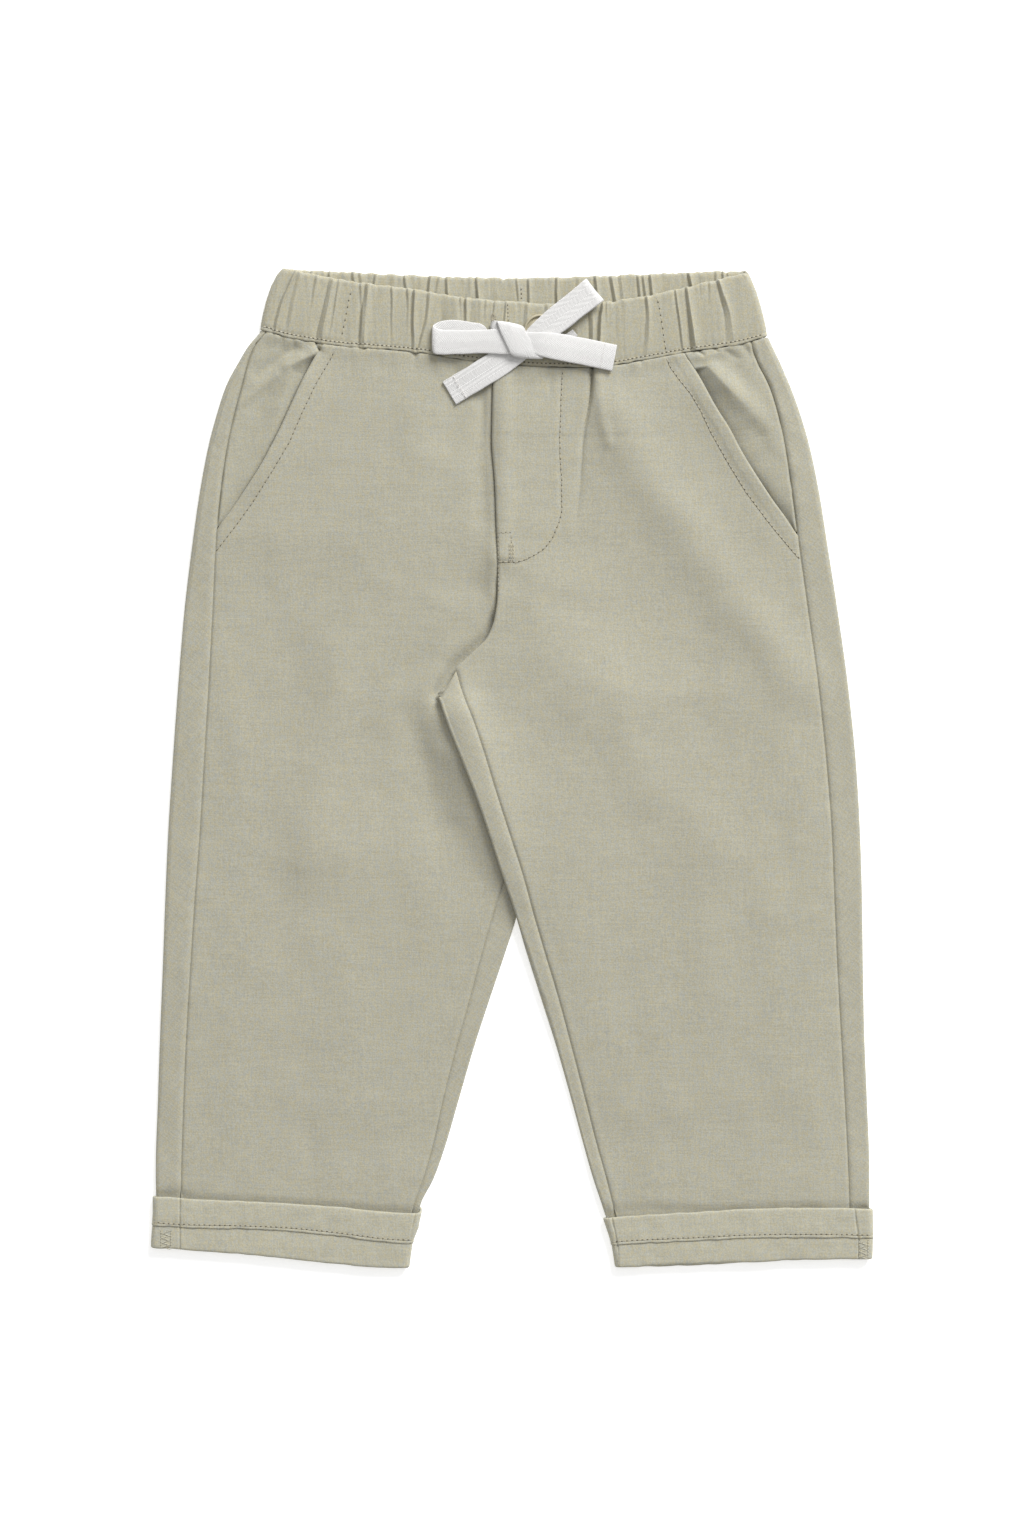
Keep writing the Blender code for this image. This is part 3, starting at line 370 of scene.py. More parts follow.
# Soft folds that the solids have too, then the finer creases that only show here. Each is a line
# from one place to another, with half its width and its height: x0, y0, x1, y1, half_width, height.
FOLDS = (
    (84, 186, 117, 151, 4.5, 0.9),
    (-86, 196, -104, 181, 4, 0.5),
    (-100, 190, -115, 178, 4, -0.5),
    (35, 184, 30, 118, 5, -0.7),
    (48, 176, 52, 120, 9, 0.4),
    (-13.5, 178, -12, 105, 5, -0.6),
    (-34, 186, -18, 142, 7, -0.4),
    (-46, 182, -40, 120, 9, 0.4),
    (70, -10, 120, -70, 14, 0.4),
    (-120, 10, -60, -60, 14, 0.4),
)
CREASES = (
    # the left front beside the fly
    (40.6, 180.5, 39.6, 168, 2.6, 0.35),
    (58, 183, 56, 170, 2.6, 0.3),
    (51, 181.5, 49.5, 172, 2, -0.3),
    (10, 180, 11, 168, 2.6, 0.2),
    (2, 180.4, 1, 170, 2, -0.2),
    (17.5, 179.6, 17, 168, 1.8, -0.25),
    # the right front below the band
    (-14, 182, -12.5, 150, 2.6, -0.5),
    (-19, 182.5, -17.5, 160, 2.4, 0.35),
    (-26.5, 184, -22, 168, 3.2, -0.5),
    (-33, 185, -30, 174, 2.6, 0.3),
    (-44, 186.5, -43, 177, 2.2, -0.3),
    (-52, 187.3, -51, 178, 2.4, 0.25),
    (-61, 188, -60, 180, 2, -0.25),
    (-70, 188.8, -69, 180, 2.2, 0.25),
    # tucks caught in the waist seam
    (-87.4, 191.6, -88.4, 189.4, 0.7, -1),
    (-65.6, 189.2, -66.2, 187.6, 0.7, -0.8),
    (-43, 186.8, -43.6, 184.6, 0.8, -0.8),
    (58.4, 183.2, 58, 181.2, 0.8, -0.8),
    (82.6, 188.6, 86.2, 185.4, 0.8, -1.3),
    (91, 189, 92.2, 187.4, 0.7, -0.9),
    (-87, 188.5, -85.7, 186.7, 0.8, -2.4),
    # the right pocket facing
    (-97, 188.4, -113.6, 176.4, 2.6, -0.9),
    (-91, 186, -108, 178, 3.4, 0.5),
    (-106, 176.4, -123.6, 162.2, 2, 0.5),
    (-111, 169, -122, 156, 4, -0.35),
    (-104, 160, -112, 146, 4, 0.3),
    (-103.4, 192.4, -105.4, 188.6, 1.2, -0.5),
    (-98, 191.6, -98.4, 189, 1, -0.3),
    (-110, 194.6, -117, 186, 2.6, 0.3),
    # the left pocket facing
    (96, 187.5, 101, 184.5, 1.6, -0.6),
    (104, 190, 108.5, 184, 1.6, -0.5),
    (108, 190, 112, 182, 2, 0.25),
    (104, 182, 121, 160, 3, 0.2),
    (112, 186, 114.6, 177, 1.3, -0.3),
    (109, 152, 126, 136, 3.6, -0.4),
    (116, 146, 131, 132, 3, 0.4),
    # around the crotch
    (-14.5, 78, -32, 50, 4.5, -0.5),
    (-18, 70, -60, 84, 7, 0.35),
    (-24, 50, -70, 40, 8, -0.35),
    (2, 84, 34, 70, 6, -0.3),
    # the legs
    (-118, 92, -96, 30, 10, -0.35),
    (-88, 70, -72, 0, 9, 0.3),
    (-132, 60, -120, -20, 6, 0.25),
    (-60, 10, -50, -70, 9, -0.35),
    (-104, -50, -96, -130, 9, -0.3),
    (-74, -90, -66, -160, 8, 0.3),
    (-128, -110, -122, -176, 7, 0.25),
    (-92, -160, -90, -192, 5, -0.3),
    (-60, -150, -56, -190, 5, 0.25),
    (112, 84, 122, 20, 8, 0.3),
    (84, 60, 92, -20, 9, -0.35),
    (48, 36, 66, -50, 9, 0.3),
    (122, -30, 126, -110, 7, -0.3),
    (88, -76, 92, -150, 9, 0.3),
    (52, -96, 62, -160, 7, -0.3),
    (106, -150, 108, -192, 5, 0.25),
    (72, -164, 76, -194, 5, -0.3),
    (136, -140, 138, -188, 5, 0.2),
)
# Where the crease beside the fly runs, and how deep and wide it is.
FLY_CREASE = Table(
    "y     x     depth  half_width",
    (196, 37.6, 4.2, 0.95),
    (183, 36.6, 4.2, 0.95),
    (175, 36, 3.9, 0.9),
    (167, 35.3, 2.9, 0.9),
    (161, 34.3, 1.9, 0.9),
    (156, 33.3, 1.25, 0.9),
    (150, 32.3, 0.85, 0.95),
    (140, 31.5, 0.6, 1),
    (122.6, 30.3, 0.45, 1),
    (112, 28.9, 0.3, 1.1),
    (104, 27.4, 0, 1.2),
)
# Broad soft swells of the fronts: height, half width, and the line of points each follows.
SWELLS = (
    # up from the left pocket's corner, past the fly and down the thigh
    (2, 12, (
        (45.5, 160), (52, 146), (66, 124), (84, 98), (101, 73), (117, 53), (128, 38),
    )),
    # beside the crease at the fly, then down the left leg
    (0.6, 2.4, ((38.8, 174), (39.2, 166), (40.8, 156), (43.4, 146))),
    (0.8, 18, ((16, 50), (42, 23), (66, -8), (82, -34))),
    (0.5, 10, ((96, 34), (118, 22), (128, -6))),
    (0.5, 11, ((92, -26), (84, -60), (92, -100))),
    (0.4, 10, ((118, -60), (124, -104), (120, -140))),
    (0.35, 12, ((60, -120), (72, -170))),
    # the right front
    (1.4, 12, ((-40, 138), (-62, 92), (-76, 50), (-88, 0), (-92, -40))),
    (-0.5, 5, ((-15, 172), (-13.5, 140), (-13, 112))),
    (1.2, 5, ((-4, 176), (-4, 96))),
    (0.8, 12, ((-30, 70), (-52, 40), (-56, 0))),
    (-0.8, 8, ((-46, 22), (-41, -6), (-33, -26))),
    # the fly, which is several layers thick
    (0.9, 13, ((4, 178), (4, 106))),
    # lower down the right leg
    (0.5, 12, ((-48, -40), (-34, -66))),
    (0.35, 14, ((-120, -20), (-116, -90))),
    (0.35, 12, ((-80, -80), (-76, -150))),
)
# Creases of the backs, which are pressed up off the table.
BACK_CREASES = (
    (-96, 170, -60, 110, 7, 0.5),
    (-40, 180, -30, 100, 6, 0.4),
    (60, 180, 80, 100, 8, 0.5),
    (30, 120, 90, 40, 9, 0.4),
    (-120, 60, -90, -40, 8, 0.5),
    (-70, 20, -60, -90, 7, 0.4),
    (-110, -80, -100, -180, 6, 0.4),
    (70, 10, 90, -90, 8, 0.5),
    (120, -40, 126, -150, 6, 0.4),
    (70, -120, 80, -190, 6, 0.4),
)
# The facing's fold along each pocket's mouth: its crest, how gently it falls away outwards, how deep
# the hollow at the pocket's edge is and how sharply it falls in there:
# x, y, height, gentle, hollow, sharp.
MOUTH_FOLDS = {
    "right": (
        (-130, 113, 0, 6, 0.3, 2.6),
        (-120.5, 130, 0.2, 6, 1.4, 2.6),
        (-112, 145, 0.3, 6, 1.7, 2.4),
        (-106, 157, 0.4, 6, 1.6, 2),
        (-102, 171, 1.1, 6, 1.8, 1.3),
        (-99.6, 180.2, 1.9, 5, 2.4, 1.1),
        (-94.4, 183.4, 2.2, 4.5, 2.6, 1.1),
        (-88.3, 185.9, 1.7, 3.5, 2.2, 1.1),
        (-85, 190, 0.4, 3, 0.2, 1.1),
    ),
    "left": (
        (129, 108.5, 0, 8, 0.4, 3),
        (124.5, 117, 0.1, 8, 1.4, 3),
        (119.5, 129, 0.2, 8, 1.9, 2.8),
        (117.5, 141, 0.3, 7, 2, 2.5),
        (115, 151.5, 0.6, 6, 2, 2),
        (106.1, 161.8, 1.6, 6, 2.2, 1.3),
        (96.8, 171.1, 2.4, 6, 2.6, 1.1),
        (89.6, 179, 2.1, 5.5, 2.2, 1.1),
        (85.6, 184, 1.2, 5, 1.4, 1.1),
        (82.9, 187.5, 0.4, 4, 0, 1.1),
    ),
}
# The left leg's edge over the right one, from the crotch seam round the top of its inner fold.
CROTCH_EDGE = (
    (-6.6, 74), (-7.8, 67), (-10.6, 59), (-18.2, 51), (-25.6, 44.8), (-33.2, 33),
    (-31.8, 27), (-27.4, 14),
)
# The heap of cloth bunched under the crossing of the legs.
PILE_LINE = ((-23, 22), (-10, -22), (2, -58))
PILE_WIDTH = ((-60, -40, -20, 0, 20), (12, 13.5, 16, 15, 12))
# How far the pockets' edges stand open.
POCKET_GAPE = {"right": 1.4, "left": 1.2}
GAPE_REACH = 9

# The rows of points of the panels, by their height up the page before they are bent to the edges.
TOP_ROW = 196
CROTCH_ROW = 33
FOOT_ROW = -216
INSEAM_STEP = 12.2          # how much higher the rows are at the inseam than at the side
STEP_TOP = 100
TOP_BLEND = 125
FOOT_BLEND = -150
OUTWARD = {"right": -1, "left": 1}

# Lines of stitching on the legs.
POCKET_STITCH = {
    "right": (
        (-79.8, 187.4), (-80.9, 184.7), (-87.8, 172.8), (-94.4, 159.1), (-99.8, 146.5), (-107.4, 133.7),
        (-116.9, 118.6), (-124.5, 108.2), (-132.6, 97.7),
    ),
    "left": (
        (69.9, 183.6), (71.2, 180.2), (75.7, 173.9), (80.5, 168), (85.2, 160), (89.2, 151.4),
        (97.3, 137), (105.4, 123.8), (114.4, 111.8), (120.5, 104.2), (129.5, 93.8),
    ),
}
FLY_STITCH = (
    (22.9, 178.9), (22.2, 165.8), (22, 157.3), (21.6, 148.7), (21.7, 139.9), (22.5, 129.4),
    (22.5, 115), (21.3, 110.3), (18.1, 102.8), (14.5, 98.3), (10.5, 95.6), (6, 93.4),
    (1.8, 92.2), (-6, 92.5),
)

# What shows of each piece of cloth, spread out flat, in metres and square metres: width, length and
# area, how it is held, what it rests on and what is sewn on it.
SHEETS = (
    ("back_right", 0.215, 0.417, 0.0691, "folded", (), ()),
    ("back_left", 0.215, 0.417, 0.0676, "folded", ("back_right",), ()),
    ("front_right", 0.178, 0.412, 0.0514, "laid", ("back_right",), ()),
    ("front_left", 0.178, 0.412, 0.0525, "laid", ("back_left", "front_right"), ("front_stitches",)),
    ("pocket_facing_right", 0.053, 0.088, 0.0023, "laid", ("back_right",), ()),
    ("pocket_facing_left", 0.056, 0.086, 0.0023, "laid", ("back_left",), ()),
    ("turn_up_right", 0.244, 0.029, 0.007, "folded", ("back_right",), ("overlock_right",)),
    ("turn_up_left", 0.244, 0.029, 0.0068, "folded", ("back_left",), ("overlock_left", "hem_stitches")),
    ("waistband_back", 0.29, 0.031, 0.007, "gathered", ("back_right", "back_left"), ()),
    (
        "waistband_front", 0.29, 0.031, 0.007, "gathered", ("waistband_back",),
        ("waistband_stitches", "eyelet_left", "eyelet_right"),
    ),
)


# ---- small helpers
def smoothstep(value):
    t = np.clip(value, 0, 1)
    return t * t * (3 - 2 * t)


def fade(value, start, end):
    """0 up to the start and 1 from the end on, with a smooth change between them."""
    return smoothstep((value - start) / (end - start))


def mix(a, b, t):
    return a + (b - a) * t


def bump(distance, half_width):
    """A soft hill: 1 in its middle, and next to nothing at twice its half width."""
    return np.exp(-((distance / half_width) ** 2))


WAVE_KNOTS = 512
RUMPLE_KNOTS = 128


def waver(at, spacing, seed):
    """An uneven smooth wave along a line, from -1 to 1."""
    knots = np.random.default_rng(seed).uniform(-1, 1, WAVE_KNOTS)
    t = np.asarray(at, dtype=float) / spacing + 200
    i = np.floor(t).astype(int)
    f = smoothstep(t - i)
    return mix(knots[i % WAVE_KNOTS], knots[(i + 1) % WAVE_KNOTS], f)


def rumple(x, y, spacing, seed):
    """Uneven smooth hills and hollows over the page, from -1 to 1."""
    knots = np.random.default_rng(seed).uniform(-1, 1, (RUMPLE_KNOTS, RUMPLE_KNOTS))
    u = np.asarray(x, dtype=float) / spacing + 60
    v = np.asarray(y, dtype=float) / spacing + 60
    i, j = np.floor(u).astype(int), np.floor(v).astype(int)
    f, g = smoothstep(u - i), smoothstep(v - j)

    def row(j):
        a, b = (knots[k % RUMPLE_KNOTS, j % RUMPLE_KNOTS] for k in (i, i + 1))
        return mix(a, b, f)

    return mix(row(j), row(j + 1), g)


def to_line(x, y, line):
    """Distance from a line through points, how far along it the nearest place is, and the side."""
    best = np.full(np.shape(x), 1e9)
    place = np.zeros(np.shape(x))
    side = np.ones(np.shape(x))
    done = 0
    for (x0, y0), (x1, y1) in zip(line, line[1:]):
        dx, dy = x1 - x0, y1 - y0
        length = math.hypot(dx, dy)
        t = np.clip(((x - x0) * dx + (y - y0) * dy) / length**2, 0, 1)
        away = np.hypot(x - x0 - t * dx, y - y0 - t * dy)
        nearer = away < best
        place = np.where(nearer, done + t * length, place)
        side = np.where(nearer, np.sign(dx * (y - y0) - dy * (x - x0)), side)
        best = np.minimum(best, away)
        done += length
    return best, place, side


def run_along(points):
    """How far along a line each of its points is."""
    return np.concatenate(([0], np.cumsum(np.linalg.norm(np.diff(points, axis=0), axis=1))))


def unit(vectors):
    return vectors / np.linalg.norm(vectors, axis=1)[:, None]


def crease_heights(x, y, rows):
    """Straight creases, each deepest where it starts."""
    total = np.zeros(np.shape(x))
    for x0, y0, x1, y1, half_width, height in rows:
        away, along, _ = to_line(x, y, ((x0, y0), (x1, y1)))
        nearest = along / math.hypot(x1 - x0, y1 - y0)
        total = total + height * bump(away, half_width) * smoothstep(1.3 - 0.8 * nearest)
    return total


def fly_crease(x, y):
    """The deep crease that the left front makes beside the fly."""
    return -FLY_CREASE("depth", y) * bump(x - FLY_CREASE("x", y), FLY_CREASE("half_width", y))


def swell_heights(x, y):
    """The broad swells of the fronts together."""
    return sum(height * bump(to_line(x, y, line)[0], half_width) for height, half_width, line in SWELLS)


# ---- heights of the layers
def below_seam(x, y):
    """How far below the waistband's seam a place on the page is."""
    return WAIST("seam", x) - y


def right_reach(y):
    """Inner edge of the right leg, on which the left leg lies."""
    front = np.where(y < LIFT_TOP[0], CENTRE_FRONT("right", y + 6), CENTRE_X)
    above = np.maximum(CENTRE_BACK("right", y), front)
    return np.where(y > CROTCH_ROW, above, INNER("right_fold", y))


def crotch_pile(x, y):
    """Cloth bunched under the overlap, which the right front and the left leg ride over."""
    away = to_line(x, y, PILE_LINE)[0]
    return CROTCH_PILE * bump(away, np.interp(y, *PILE_WIDTH)) * fade(y, -86, -10)


def lift(side, x, y, ramp=LIFT_RAMP):
    """Rise of the left leg over the right one, and over the cloth bunched in the crotch."""
    if side == "right":
        return np.zeros(np.shape(x))
    low, high = LIFT_TOP
    climb = fade(y, high, low)
    return LEG_LIFT * climb * fade(x - right_reach(y), 1 + ramp, 1) + crotch_pile(x, y)


def cuff_rise(side, x, y):
    top = CUFFS[side]("top", x)
    return LAYER * fade(y, top + 2 + CUFF_RAMP, top + 2)


def cuff_dip(side, x, y):
    """The leg is pressed in where it meets the top of its turn-up."""
    top = CUFFS[side]("top", x)
    if side == "left":
        # deeper and wider towards the inseam, and deep again at the side
        along = fade(x, 62, 96)
        pressed, reach = mix(1.4, 0.75, along) + 0.25 * waver(x, 9, 24), mix(3.2, 1.1, along)
        pressed = pressed + 0.6 * fade(x, 152, 155)
    else:
        pressed = 0.6 + 0.2 * waver(x, 8, 25) + 0.6 * bump(x + 152, 7) + 0.35 * bump(x + 60, 16)
        reach = mix(1.2, 2.6, bump(x + 152, 8))
    return -pressed * bump(np.maximum(y - top - 0.3, 0), reach)


def gape(side, x, y):
    """The front stands up along the pocket's mouth."""
    foot = POCKET_FOOT[side]
    along = fade(y, foot, foot + 30) * fade(below_seam(x, y), 0, 20)
    away = (x - SLANT(side, y)) / GAPE_REACH
    return POCKET_GAPE[side] * along * np.exp(-away * away)


def back_height(side, x, y):
    """Middle of the back layer."""
    return HALF + lift(side, x, y) + cuff_rise(side, x, y)


def hollow_beside_left_leg(x, y):
    """The right front is drawn down along the left leg's inner fold."""
    beside = INNER("left_fold", y) - x
    ramp = 9 + 10 * bump(y + 8, 32)
    hollow = fade(beside, 1, 1 + ramp) * fade(beside, 70, 26)
    return 0.09 * ramp * hollow * bump(y + 4, 36)


def front_height(side, x, y):
    """Middle of the front layer, as the solids have it, with the finer creases on it."""
    out = OUTWARD[side]
    from_fold = (SIDES(side + "_fold", y) - x) * out
    from_crotch = (x - PUFF_LIMIT(side, y)) * out
    below_band = fade(below_seam(x, y), 0, CROWN_REACH)
    above_cuff = fade(y, CROWN_FOOT, CROWN_FOOT + CROWN_REACH)
    fuller = 18 if side == "right" else 0
    puff = fade(from_fold + fuller, 0, CROWN_REACH) * fade(from_crotch, 0, CROWN_REACH)
    soft = CROWN + crease_heights(x, y, FOLDS) * fade(from_crotch, 0, 8)
    height = LEVEL("front", np.where(y > LEVEL_BLEND, LEVEL.key[-1] - below_seam(x, y), y))
    height = height + puff * soft * below_band * above_cuff + gape(side, x, y)
    height = height + lift(side, x, y, TOP_RAMP) + cuff_rise(side, x, y) + cuff_dip(side, x, y)
    if side == "right":
        height = height + crotch_pile(x, y) - hollow_beside_left_leg(x, y)
    inside = fade(from_fold, 0, 9)
    fine = crease_heights(x, y, CREASES) + swell_heights(x, y) + fly_crease(x, y)
    uneven = 0.3 * rumple(x, y, 34, 3) + 0.14 * rumple(x, y, 13, 4) + 0.05 * rumple(x, y, 5, 5)
    return height + inside * (fine + uneven)


# ---- rows of the panels
def row_height(side, row_y, x, inner_share=0, layer="front"):
    """Height up the page of a row of points, at x."""
    top = WAIST("seam" if layer == "front" else "back_seam", x) - SEAM / 2
    foot = CUFFS[side]("bottom", x) + CUFF_LIP + 1.5 * SEAM
    to_top = fade(row_y, TOP_BLEND, TOP_ROW)
    to_foot = np.clip((FOOT_BLEND - row_y) / (FOOT_BLEND - FOOT_ROW), 0, 1)
    above = (STEP_TOP - row_y) / (STEP_TOP - CROTCH_ROW)
    below = (row_y - FOOT_ROW) / (CROTCH_ROW - FOOT_ROW)
    step = INSEAM_STEP * np.clip(np.where(row_y < CROTCH_ROW, below, above), 0, 1)
    return row_y + to_top * (top - TOP_ROW) + to_foot * (foot - FOOT_ROW) + step * inner_share


def settle(side, row_y, edge, inner_share=0, layer="front"):
    """The points where rows meet an edge that is given as a function of height."""
    y = row_y
    for _ in range(6):
        y = row_height(side, row_y, edge(y), inner_share, layer)
    return edge(y), y


def front_outer_edge(side):
    """Slanted pocket edge, then the side seam."""
    pick = np.maximum if side == "right" else np.minimum

    def edge(y):
        seam = SIDES(side + "_seam", y)
        return np.where(y > SLANT.key[0], pick(SLANT(side, y), seam), seam)

    return edge


def front_inner_edge(side):
    """Centre front and crotch seam, then the inseam."""
    return lambda y: np.where(y > CENTRE_FRONT.key[0], CENTRE_FRONT(side, y), INNER(side + "_inseam", y))


# ---- meshes
def grid_mesh(name, points, wrap_rows=False, wrap_columns=False, caps=False, uv=None):
    """A mesh on a grid of points in millimetres. Points that are not numbers are left out."""
    valid = ~np.isnan(points[..., 0])
    index = np.full(valid.shape, -1)
    index[valid] = np.arange(valid.sum())
    if wrap_rows:
        index = np.concatenate((index, index[:1]), axis=0)
    if wrap_columns:
        index = np.concatenate((index, index[:, :1]), axis=1)
    quads = np.stack((index[:-1, :-1], index[:-1, 1:], index[1:, 1:], index[1:, :-1]), axis=-1)
    quads = quads.reshape(-1, 4)
    quads = quads[(quads >= 0).all(axis=1)]
    mesh = bpy.data.meshes.new(name)
    mesh.from_pydata((points[valid] * MM).tolist(), [], quads.tolist())
    if uv is not None:
        layer = mesh.uv_layers.new(name="cloth")
        corner = np.zeros(len(mesh.loops), dtype=int)
        mesh.loops.foreach_get("vertex_index", corner)
        layer.data.foreach_set("uv", uv[valid][corner].astype(np.float32).ravel())
    bm = bmesh.new()
    bm.from_mesh(mesh)
    if caps:
        bmesh.ops.holes_fill(bm, edges=bm.edges, sides=0)
    bmesh.ops.recalc_face_normals(bm, faces=bm.faces)
    bm.to_mesh(mesh)
    bm.free()
    mesh.shade_smooth()
    return mesh


def piece(name, mesh, material, slot, *nodes):
    """A piece of the trousers, which stands for the named solids."""
    made = bpy.data.objects.new(name, mesh)
    bpy.context.scene.collection.objects.link(made)
    made.data.materials.append(material)
    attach(made, "root")
    if nodes:
        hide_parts(*nodes)
    return made


def shell(name, points, material):
    """A piece of cloth with half its thickness on each side of a grid of points."""
    made = piece(name, grid_mesh(name, points), material, "linen", name)
    wall = made.modifiers.new("wall", "SOLIDIFY")
    wall.thickness = WALL * MM
    wall.offset = 0
    return made


# ---- materials
class Shader:
    """A short way to write a material's nodes."""

    def __init__(self, name):
        self.material = bpy.data.materials.new(name)
        self.material.use_nodes = True
        self.tree = self.material.node_tree
        self.bsdf = self.tree.nodes["Principled BSDF"]

    def add(self, kind, settings=None, inputs=None, **named):
        node = self.tree.nodes.new(kind)
        for key, value in (settings or {}).items():
            setattr(node, key, value)
        for key, value in [*(inputs or {}).items(), *named.items()]:
            self.put(node.inputs[key], value)
        return node

    def put(self, socket, value):
        if isinstance(value, bpy.types.NodeSocket):
            self.tree.links.new(value, socket)
        else:
            socket.default_value = value

    def place(self):
        return self.add("ShaderNodeTexCoord").outputs["Object"]

    def math(self, operation, a, b):
        return self.add("ShaderNodeMath", {"operation": operation}, {0: a, 1: b}).outputs[0]

    def scaled(self, value, factor, offset=0):
        product = self.math("MULTIPLY", value, factor)
        return self.math("ADD", product, offset) if offset else product

    def centred(self, value, factor):
        return self.scaled(self.math("SUBTRACT", value, 0.5), factor)

    def clamped(self, value):
        return self.math("MINIMUM", self.math("MAXIMUM", value, 0), 1)

    def noise(self, vector, scale, detail=2, roughness=0.5):
        node = self.add("ShaderNodeTexNoise", Vector=vector, Scale=scale, Detail=detail, Roughness=roughness)
        return node.outputs["Fac"]

    def threads(self, vector, per_metre, detail, roughness=0.5):
        """Noise that is drawn out along one way of the cloth."""
        stretched = self.add("ShaderNodeVectorMath", {"operation": "MULTIPLY"}, {0: vector, 1: per_metre})
        return self.noise(stretched.outputs[0], 1, detail, roughness)

    def blend(self, factor, a, b):
        return self.add("ShaderNodeMix", {"data_type": "RGBA"}, {0: factor, 6: a, 7: b}).outputs[2]

    def relief(self, height, strength, millimetres):
        node = self.add("ShaderNodeBump", Strength=strength, Distance=millimetres * MM, Height=height)
        return node.outputs[0]

    def surface(self, **inputs):
        """Sets the surface's own sockets, written with _ for a space."""
        for name, value in inputs.items():
            self.put(self.bsdf.inputs[name.replace("_", " ")], value)
        return self.material


def shade(colour, shares):
    return (*np.minimum(np.multiply(colour, shares), 1), 1)


def linen(name, colour, grain=0):
    """Plain-weave linen: uneven threads both ways, a fine speckle, slubs and a soft mottling."""
    s = Shader(name)
    turned = s.add("ShaderNodeMapping", Vector=s.place(), Rotation=(0, 0, math.radians(grain)))
    cloth = turned.outputs[0]
    warp = s.threads(cloth, (1500, 110, 110), 3, 0.7)
    weft = s.threads(cloth, (90, 1400, 90), 3, 0.7)
    speckle = s.noise(cloth, 1500, 2, 0.8)
    slub = s.threads(cloth, (60, 700, 60), 2)
    broad = s.noise(cloth, 60, 3)
    tint = s.threads(cloth, (1150, 700, 700), 2, 0.7)
    tone = 0.5
    for fleck, share in ((speckle, 2.8), (warp, 1), (weft, 1), (slub, 0.25), (broad, 0.2)):
        tone = s.math("ADD", tone, s.centred(fleck, share))
    tones = s.blend(s.clamped(tone), shade(colour, 0.8), shade(colour, 1.2))
    hue = s.clamped(s.math("ADD", s.centred(tint, 3), 0.5))
    hues = s.blend(hue, shade(colour, (1.14, 1, 0.68)), shade(colour, (0.84, 1, 1.44)))
    both = s.math("ADD", s.scaled(warp, 0.5), s.scaled(weft, 0.5))
    return s.surface(
        Base_Color=s.blend(0.34, tones, hues),
        Roughness=s.scaled(both, 0.18, 0.78),
        Sheen_Weight=0.18,
        Sheen_Roughness=0.55,
        Specular_IOR_Level=0.25,
        Normal=s.relief(s.math("ADD", both, s.scaled(speckle, 0.8)), 0.6, 0.2),
    )


def herringbone_tape(name, colour):
    """Cotton twill tape. Its cloth coordinates are millimetres across and along the tape."""
    rib, twill_pitch, warp_pitch = 3, 0.85, 0.55
    s = Shader(name)
    place = s.add("ShaderNodeUVMap", {"uv_map": "cloth"}).outputs[0]
    split = s.add("ShaderNodeSeparateXYZ", Vector=place)
    across, along = split.outputs["X"], split.outputs["Y"]
    slope = s.math("ADD", s.scaled(s.math("PINGPONG", across, rib), 1.15), along)
    twill = s.math("SINE", s.scaled(slope, 2 * math.pi / twill_pitch), 0)
    ends = s.math("SINE", s.scaled(across, 2 * math.pi / warp_pitch), 0)
    worn = s.threads(place, (1.2, 1, 1), 3, 0.85)
    tone = s.math("ADD", s.scaled(twill, 0.45, 0.5), s.centred(worn, 2.4))
    height = s.math("ADD", s.scaled(twill, 0.5), s.scaled(ends, 0.18))
    return s.surface(
        Base_Color=s.blend(s.clamped(tone), shade(colour, 0.86), shade(colour, 1.12)),
        Roughness=s.scaled(worn, 0.2, 0.75),
        Sheen_Weight=0.15,
        Specular_IOR_Level=0.25,
        Normal=s.relief(s.math("ADD", height, s.scaled(worn, 0.5)), 0.8, 0.22),
    )


def thread(name, colour):
    """Twisted sewing thread; also the dark marks of painted shade in needle holes and in the overlock's
    gaps.
    """
    s = Shader(name)
    fleck = s.noise(s.place(), 2600)
    return s.surface(
        Base_Color=s.blend(fleck, shade(colour, 0.75), shade(colour, 1.2)),
        Roughness=s.scaled(fleck, 0.2, 0.55),
        Normal=s.relief(fleck, 0.4, 0.1),
    )


def resin(name, colour):
    """A dyed resin button with a faint grain."""
    s = Shader(name)
    swirl = s.threads(s.place(), (500, 120, 300), 3)
    return s.surface(
        Base_Color=s.blend(swirl, shade(colour, 0.85), shade(colour, 1.12)),
        Roughness=s.scaled(swirl, 0.15, 0.33),
        Normal=s.relief(swirl, 0.15, 0.1),
    )


LINEN_FRONT = linen("linen_fronts", (0.415, 0.397, 0.306))
LINEN_BACK = linen("linen_backs", (0.41, 0.392, 0.302), 38)
LINEN_BAND = linen("linen_waistband", (0.414, 0.392, 0.294), 1.5)
LINEN_FACING = linen("linen_facings", (0.405, 0.388, 0.298), -4)
LINEN_CUFF = linen("linen_turn_ups", (0.457, 0.437, 0.335), -2)
TAPE_CLOTH = herringbone_tape("cotton_tape", (0.83, 0.82, 0.805))
THREAD = thread("sewing_thread", (0.42, 0.385, 0.295))
LIGHT_THREAD = thread("light_sewing_thread", (0.52, 0.485, 0.385))
# dark marks of painted shade in the needle holes
PAINTED_HOLE_SHADE = thread("needle_holes", (0.12, 0.105, 0.072))
# dark marks of painted shade in the gaps between the overlock's threads
PAINTED_GAP_SHADE = thread("painted_overlock_gap_shade", (0.24, 0.22, 0.16))
PALE_THREAD = thread("pale_sewing_thread", (0.66, 0.63, 0.6))
OVERLOCK = thread("overlock_thread", (0.54, 0.52, 0.42))
BUTTON = resin("button_resin", (0.47, 0.43, 0.31))


